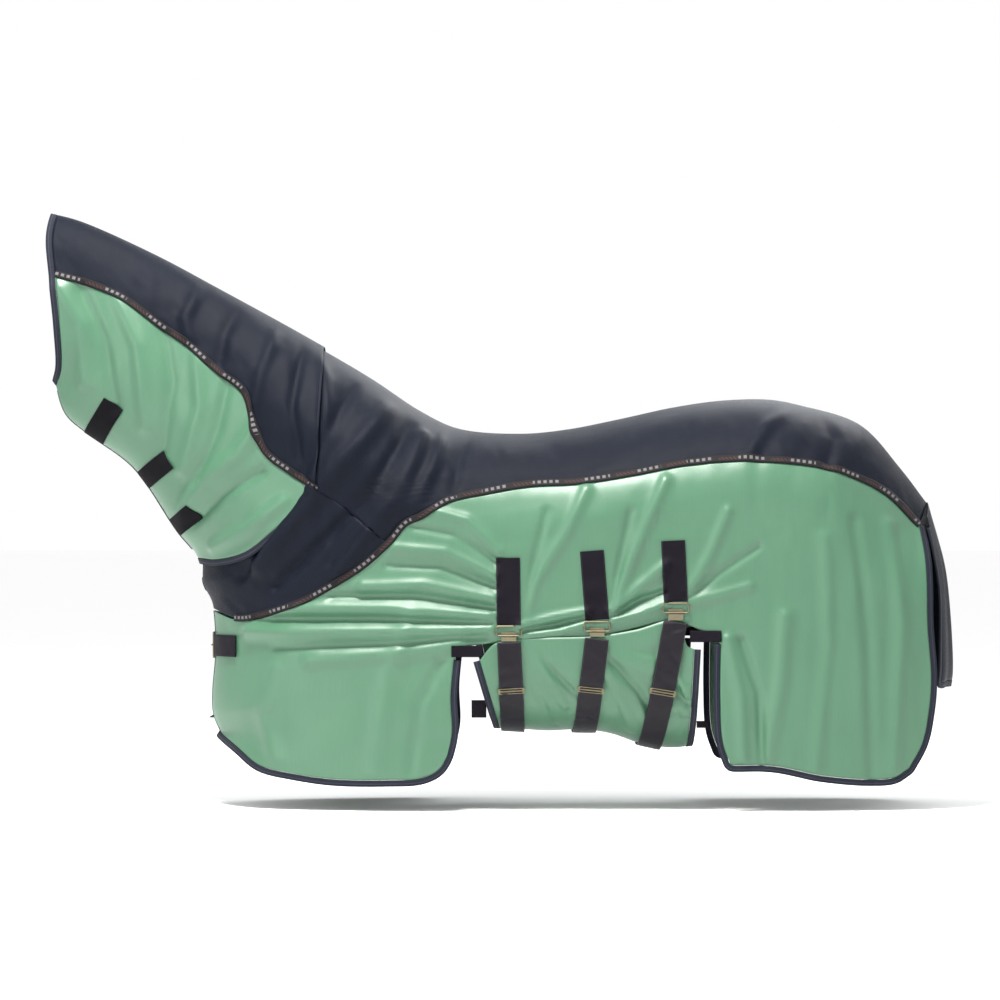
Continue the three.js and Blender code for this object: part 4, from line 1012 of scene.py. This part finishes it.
# pleats pulled from the hooks: share across the flap and turn round it, start and end, width, height
flapFolds = [
    ([(0.27, 0.10), (0.36, 0.62)], 0.020, 5.0), ([(0.28, 0.12), (0.44, 0.50)], 0.018, -4.5),
    ([(0.55, 0.06), (0.66, 0.55), (0.70, 0.95)], 0.022, 6.0),
    ([(0.57, 0.05), (0.74, 0.40), (0.84, 0.80)], 0.020, -6.0),
    ([(0.58, 0.03), (0.80, 0.20)], 0.022, 6.0), ([(0.59, 0.01), (0.82, 0.10)], 0.014, -4.0),
    ([(0.10, 0.08), (0.08, 0.55)], 0.020, 3.5), ([(0.44, 0.3), (0.42, 0.95)], 0.03, 4.0),
    ([(0.88, 0.25), (0.98, 0.28)], 0.018, 5.0), ([(0.88, 0.42), (0.98, 0.40)], 0.016, -4.5),
    ([(0.87, 0.60), (0.99, 0.52)], 0.018, 4.5), ([(0.24, 0.5), (0.30, 1.1)], 0.02, -3.0),
]


def flapPoint(share, turn):
    depth = np.abs(np.sin(turn)) ** flapSet["power"]
    across = np.sign(np.cos(turn)) * np.abs(np.cos(turn)) ** flapSet["power"]
    front = flapSet["front"] + flapSet["frontDraw"] * depth
    rear = flapSet["front"] + flapSet["length"] - flapSet["rearDraw"] * depth
    x = front + (rear - front) * share
    nearEdge = np.interp(flapSet["front"] + flapSet["length"] * share, edgeRun[:, 0], edgeRun[:, 1])
    edge = nearEdge + (flapSet["seam"] - nearEdge) * turn / math.pi
    low = np.interp(x, bottomRun[:, 0], bottomRun[:, 1])
    y = -(flapSet["half"] + flapSet["lift"] / 2) * across - flapSet["lift"] / 2
    return np.stack(np.broadcast_arrays(x, y, edge + (low - edge) * depth), -1)


def flapStation(share, turn):
    step = 1e-3
    share, turn = np.broadcast_arrays(np.asarray(share, float), np.asarray(turn, float))
    late, early = np.minimum(turn + step, math.pi - 1e-4), np.maximum(turn - step, 1e-4)
    roundWay = flapPoint(share, late) - flapPoint(share, early)
    along = flapPoint(share + step, turn) - flapPoint(share - step, turn)
    return flapPoint(share, turn), unit(-np.cross(along, roundWay))


def flapHeight(share, turn):
    h = np.zeros(np.shape(share))
    for points, width, height in flapFolds:
        h = h + foldDepth["flap"] * ridge(share, turn * 0.35, [(a, b * 0.35) for a, b in points], width, height)
    u, v = share * 480, turn * 240
    h = h + 2.4 * drapeNoise(u, v, 60, 120, 41) + 1.0 * drapeNoise(u, v, 24, 60, 43, 0.4)
    h = np.where(h > 0, flapSet["crest"] * np.tanh(h / flapSet["crest"]), h)  # crests stay under the straps
    ends = smooth(turn, 0.02, 0.16) * smooth(math.pi - turn, 0.02, 0.2)
    return h * ends * (1 - 0.5 * smooth(np.abs(turn - math.pi / 2), 0.9, 0.2))


def onFlap(share, turn, lift=0.0, quiet=0.0):
    point, out = flapStation(share, turn)
    return point + out * (flapHeight(share, turn) * (1 - quiet) + lift)[..., None], out


turns = np.linspace(0, math.pi, flapSet["rows"] + 1)
turns = turns - 0.32 * np.sin(2 * turns)  # closer rows where the trough turns tightest
turnGrid, shareGrid = np.meshgrid(turns, np.linspace(0, 1, flapSet["columns"] + 1), indexing="ij")
bellyFlap = clothPiece("bellyFlap", [onFlap(shareGrid, turnGrid)], mint)
place(bellyFlap, "belly_flap", "mint_mesh", "belly_flap")
for name, share, turn in (("front", 0.0, 1), ("rear", 1.0, -1)):
    points, out = fineRun(*onFlap(np.full(len(turns), share), turns))
    piece = sweepPiece("flap" + name.title() + "Binding", points, out, turn, bindProfile, bindingMat)
    place(piece, "belly_flap", "edge_binding", "flap_" + name + "_binding")
print("belly flap made")

# surcingles

strapSet = {"half": 27.0, "thick": 2.6, "gap": 4.4, "bottom": -690.0}
patchSet = {"half": 27.0, "low": 1.6, "thick": 2.4, "material": webbingMat, "crumple": 0.6}
surcingles = [("front", (-28, -285), (-26, -437), -16, 61), ("middle", (162, -269), (174, -425), 147, 67),
              ("rear", (346, -246), (352, -384), 296, 73)]
for name, top, end, foot, seed in surcingles:
    top, end = np.array(top, float), np.array(end, float)
    patch = rugStrap("surcinglePatch" + name.title(), straight(top, end), -1, seed=seed, **patchSet)
    place(patch, "root", "dark_webbing", "surcingle_patch_" + name)
    slant = abs(foot - end[0]) / (end[1] - strapSet["bottom"]) * strapSet["half"]
    length = top[1] - flapSet["seam"] - 1.2 - slant * 2
    line = straight((end[0], top[1]), (end[0], top[1] - length))
    anchor = rugStrap("surcingleAnchor" + name.title(), line, 1, seed=seed + 1, **patchSet)
    place(anchor, "root", "dark_webbing", "surcingle_anchor_" + name)

    ring = wireFrame("surcingleRing" + name.title(), "surcingle_ring_" + name, 0)
    place(ring, "ring_" + name, "brass_hardware", "surcingle_ring_" + name)
    hook = roundedCopy("tHook" + name.title(), "t_hook_" + name, brassMat, 0.8)
    place(hook, "belly_flap", "brass_hardware", "t_hook_" + name)
    slider = roundedCopy("strapSlider" + name.title(), "strap_slider_" + name, brassMat, 0.5)
    place(slider, "slider_" + name, "brass_hardware", "strap_slider_" + name)

    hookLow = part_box("t_hook_" + name)[0][2] / mm
    t = np.linspace(0.001, math.pi, 900)
    depth = np.abs(np.sin(t)) ** flapSet["power"]
    x = end[0] + (foot - end[0]) * depth
    front, draw = flapSet["front"] + flapSet["frontDraw"] * depth, flapSet["frontDraw"] + flapSet["rearDraw"]
    share = (x - front) / (flapSet["length"] - draw * depth)
    point, out = onFlap(share, t, 0.0, 0.8)
    use = (point[:, 2] <= hookLow - 1.0) | (t > 0.5)
    points, out = fineRun(softened(point[use], 6), out[use])
    strap = strapPiece("bellyStrap" + name.title(), points, out, 1, strapSet["half"], strapSet["gap"],
                       strapSet["thick"], satinMat, crumple=3.2, seed=seed + 3, columns=16, taper=210)
    place(strap, "belly_flap", "dark_webbing", "belly_strap_" + name)
print("surcingles made")

slotBarSet = {"reach": 35.5, "half": 13.0, "low": 2.0, "thick": 2.4, "offLevel": -464.0}
for name, (x, z) in (("front", (-120.5, -497)), ("rear", (419.5, -463))):
    for label, side in rugSides:
        level = z if side < 0 else slotBarSet["offLevel"]
        line = straight((x - slotBarSet["reach"], level), (x + slotBarSet["reach"], level))
        bar = rugStrap(label + name.title() + "SlotBar", line, side, slotBarSet["half"], slotBarSet["low"],
                       slotBarSet["thick"], webbingMat, count=30, crumple=0.4, seed=9)
        place(bar, "root", "dark_webbing", label + "_" + name + "_slot_bar")

# loose tab and link at the corners of the flap

for name, node in (("bellyTab", "belly_tab"), ("bellyLink", "belly_link")):
    low, high = nodeBox(node)
    level, y = (low[2] + high[2]) / 2, (low[1] + high[1]) / 2
    x = np.linspace(low[0], high[0], 16)
    points = np.stack([x, y + 1.2 * np.sin(x / 9), np.full(16, level)], 1)
    outs = np.tile([0.0, -1.0, 0.0], (16, 1))
    piece = strapPiece(name, points, outs, 1, (high[2] - low[2]) / 2, -1.3, 2.6, webbingMat, crumple=0.8, seed=12,
                       columns=8)
    place(piece, "belly_flap", "dark_webbing", node)

# tail flap

tailSet = {"width": 340.0, "hem": 0.965, "length": 430.0, "lift": 3.0, "bow": 14.0, "bowGain": 34.0, "fall": 42.0,
           "top": 0.06, "count": 60}
tailLine = sideLine([[943.2, -160], [966, -246], [984, -329], [997, -476], [1000, -560], [996, -584]])


def tailPoint(y, drop):
    share = (2 * y / tailSet["width"]) ** 2
    spot = tailLine(drop)
    x = spot[..., 0] - (tailSet["bow"] + tailSet["bowGain"] * drop) * share
    return np.stack(np.broadcast_arrays(x, y, spot[..., 1] - tailSet["fall"] * share * (1 - drop)), -1)


def tailStation(y, drop, lift):
    y, drop = np.broadcast_arrays(np.asarray(y, float), np.asarray(drop, float))
    down = tailPoint(y, np.minimum(drop + 2e-3, 1)) - tailPoint(y, np.maximum(drop - 2e-3, 0))
    across = tailPoint(y + 1, drop) - tailPoint(y - 1, drop)
    out = unit(-np.cross(across, down))
    run = drop * tailSet["length"]
    wave = 3.0 * drapeNoise(y, run, 46, 300, 51) + 1.4 * drapeNoise(y, run, 20, 160, 53)
    wave = wave * smooth(drop, 0.02, 0.3)
    return tailPoint(y, drop) + out * (wave + lift)[..., None], out


tailHalf = tailSet["width"] / 2 - 15
dropGrid, yGrid = np.meshgrid(np.linspace(0, tailSet["hem"], 90), np.linspace(-tailHalf, tailHalf, 70),
                              indexing="ij")
tailFlap = clothPiece("tailFlap", [tailStation(yGrid, dropGrid, tailSet["lift"])], navy)
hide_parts("tail_flap")
n = tailSet["count"]
drops = np.linspace(tailSet["top"], tailSet["hem"], n)
edge = np.concatenate([np.stack([np.full(n, -tailHalf), drops], 1),
                       np.stack([np.linspace(-tailHalf, tailHalf, n)[1:-1], np.full(n - 2, tailSet["hem"])], 1),
                       np.stack([np.full(n, tailHalf), drops[::-1]], 1)])
points, out = fineRun(*tailStation(edge[:, 0], edge[:, 1], tailSet["lift"]))
tailBinding = sweepPiece("tailBinding", softened(points, 3), out, 1, bindProfile, bindingMat)
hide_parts("tail_binding")
for piece in (tailFlap, tailBinding):
    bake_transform(piece)
print("tail flap made")

# chest strap

chestSet = {"level": -490.0, "half": 25.0, "end": -651.0, "lift": 3.0, "low": 0.3, "thick": 2.6, "clear": 23.6}
chestFront = throatLine(shareAt(throatLine, 1, chestSet["level"]))[0]
reach = math.acos(1 - (chestSet["end"] - chestFront) / bodyForm["chestDepth"])


def chestSpots(t):
    x = chestFront + bodyForm["chestDepth"] * (1 - np.cos(t))
    return np.stack([x, np.full(len(t), chestSet["level"])], 1)


for name, side in rugSides:
    t = np.linspace(0.01, reach, 400)
    points, _ = onRug(chestSpots(t), side, chestSet["lift"])
    first = t[np.argmax(np.abs(points[:, 1]) > chestSet["clear"])]
    strap = rugStrap(name + "ChestStrap", lambda k: chestSpots(first + (reach - first) * k), side, chestSet["half"],
                     chestSet["low"], chestSet["thick"], webbingMat, lift=chestSet["lift"], crumple=0.4, seed=15)
    place(strap, "root", "dark_webbing", name + "_chest_strap")
buckle = wireFrame("chestBuckleFrame", "chest_buckle_frame", 1)
place(buckle, "root", "brass_hardware", "chest_buckle_frame")
tongue = roundedCopy("chestBuckleTongue", "chest_buckle_tongue", brassMat, 0.7)
place(tongue, "buckle_tongue", "brass_hardware", "chest_buckle_tongue")
keeper = roundedCopy("chestKeeper", "chest_keeper", webbingMat, 0.5)
place(keeper, "keeper", "dark_webbing", "chest_keeper")
print("chest strap made")

# floor and light

stageSet = {"level": -0.86, "size": 60.0, "room": 1.0}
floorMesh = bpy.data.meshes.new("floor")
corners = [(x * stageSet["size"], y * stageSet["size"], stageSet["level"])
           for x, y in ((-1, -1), (1, -1), (1, 1), (-1, 1))]
floorMesh.from_pydata(corners, [], [(0, 1, 2, 3)])
floor = addObject("floor", floorMesh)
paper = Finish("paleFloor")
paperColor = paper.mix(paper.noise(paper.where(), 2.0), (0.96, 0.96, 0.96), (0.98, 0.98, 0.98))
floorMesh.materials.append(paper.set(color=paperColor, rough=0.9, specular=0.1))

world = bpy.data.worlds.new("paleRoom")
bpy.context.scene.world = world
world.use_nodes = True
room = world.node_tree.nodes["Background"]
room.inputs[0].default_value, room.inputs[1].default_value = (1, 1, 1, 1), stageSet["room"]
bpy.context.scene.view_settings.view_transform = "Standard"  # plain display keeps the dark navy dark


def softLight(name, spot, aim, size, power, tint=(1, 1, 1)):
    data = bpy.data.lights.new(name, "AREA")
    data.shape, data.size, data.size_y = "RECTANGLE", size[0], size[1]
    data.energy, data.color = power, tint
    lamp = addObject(name, data)
    lamp.location = spot
    lamp.rotation_euler = (Vector(aim) - Vector(spot)).to_track_quat("-Z", "Y").to_euler()


softLight("overhead", (-0.6, -1.6, 3.4), (0, 0, -0.1), (1.1, 0.6), 360, (1.0, 0.99, 0.96))
softLight("frontFill", (-3.4, -3.2, 0.6), (0, 0, -0.3), (0.8, 1.4), 35)
softLight("backLight", (1.5, 3.6, 2.4), (0, 0, -0.2), (2.4, 1.6), 90, (0.95, 0.98, 1.0))
print("stage made")
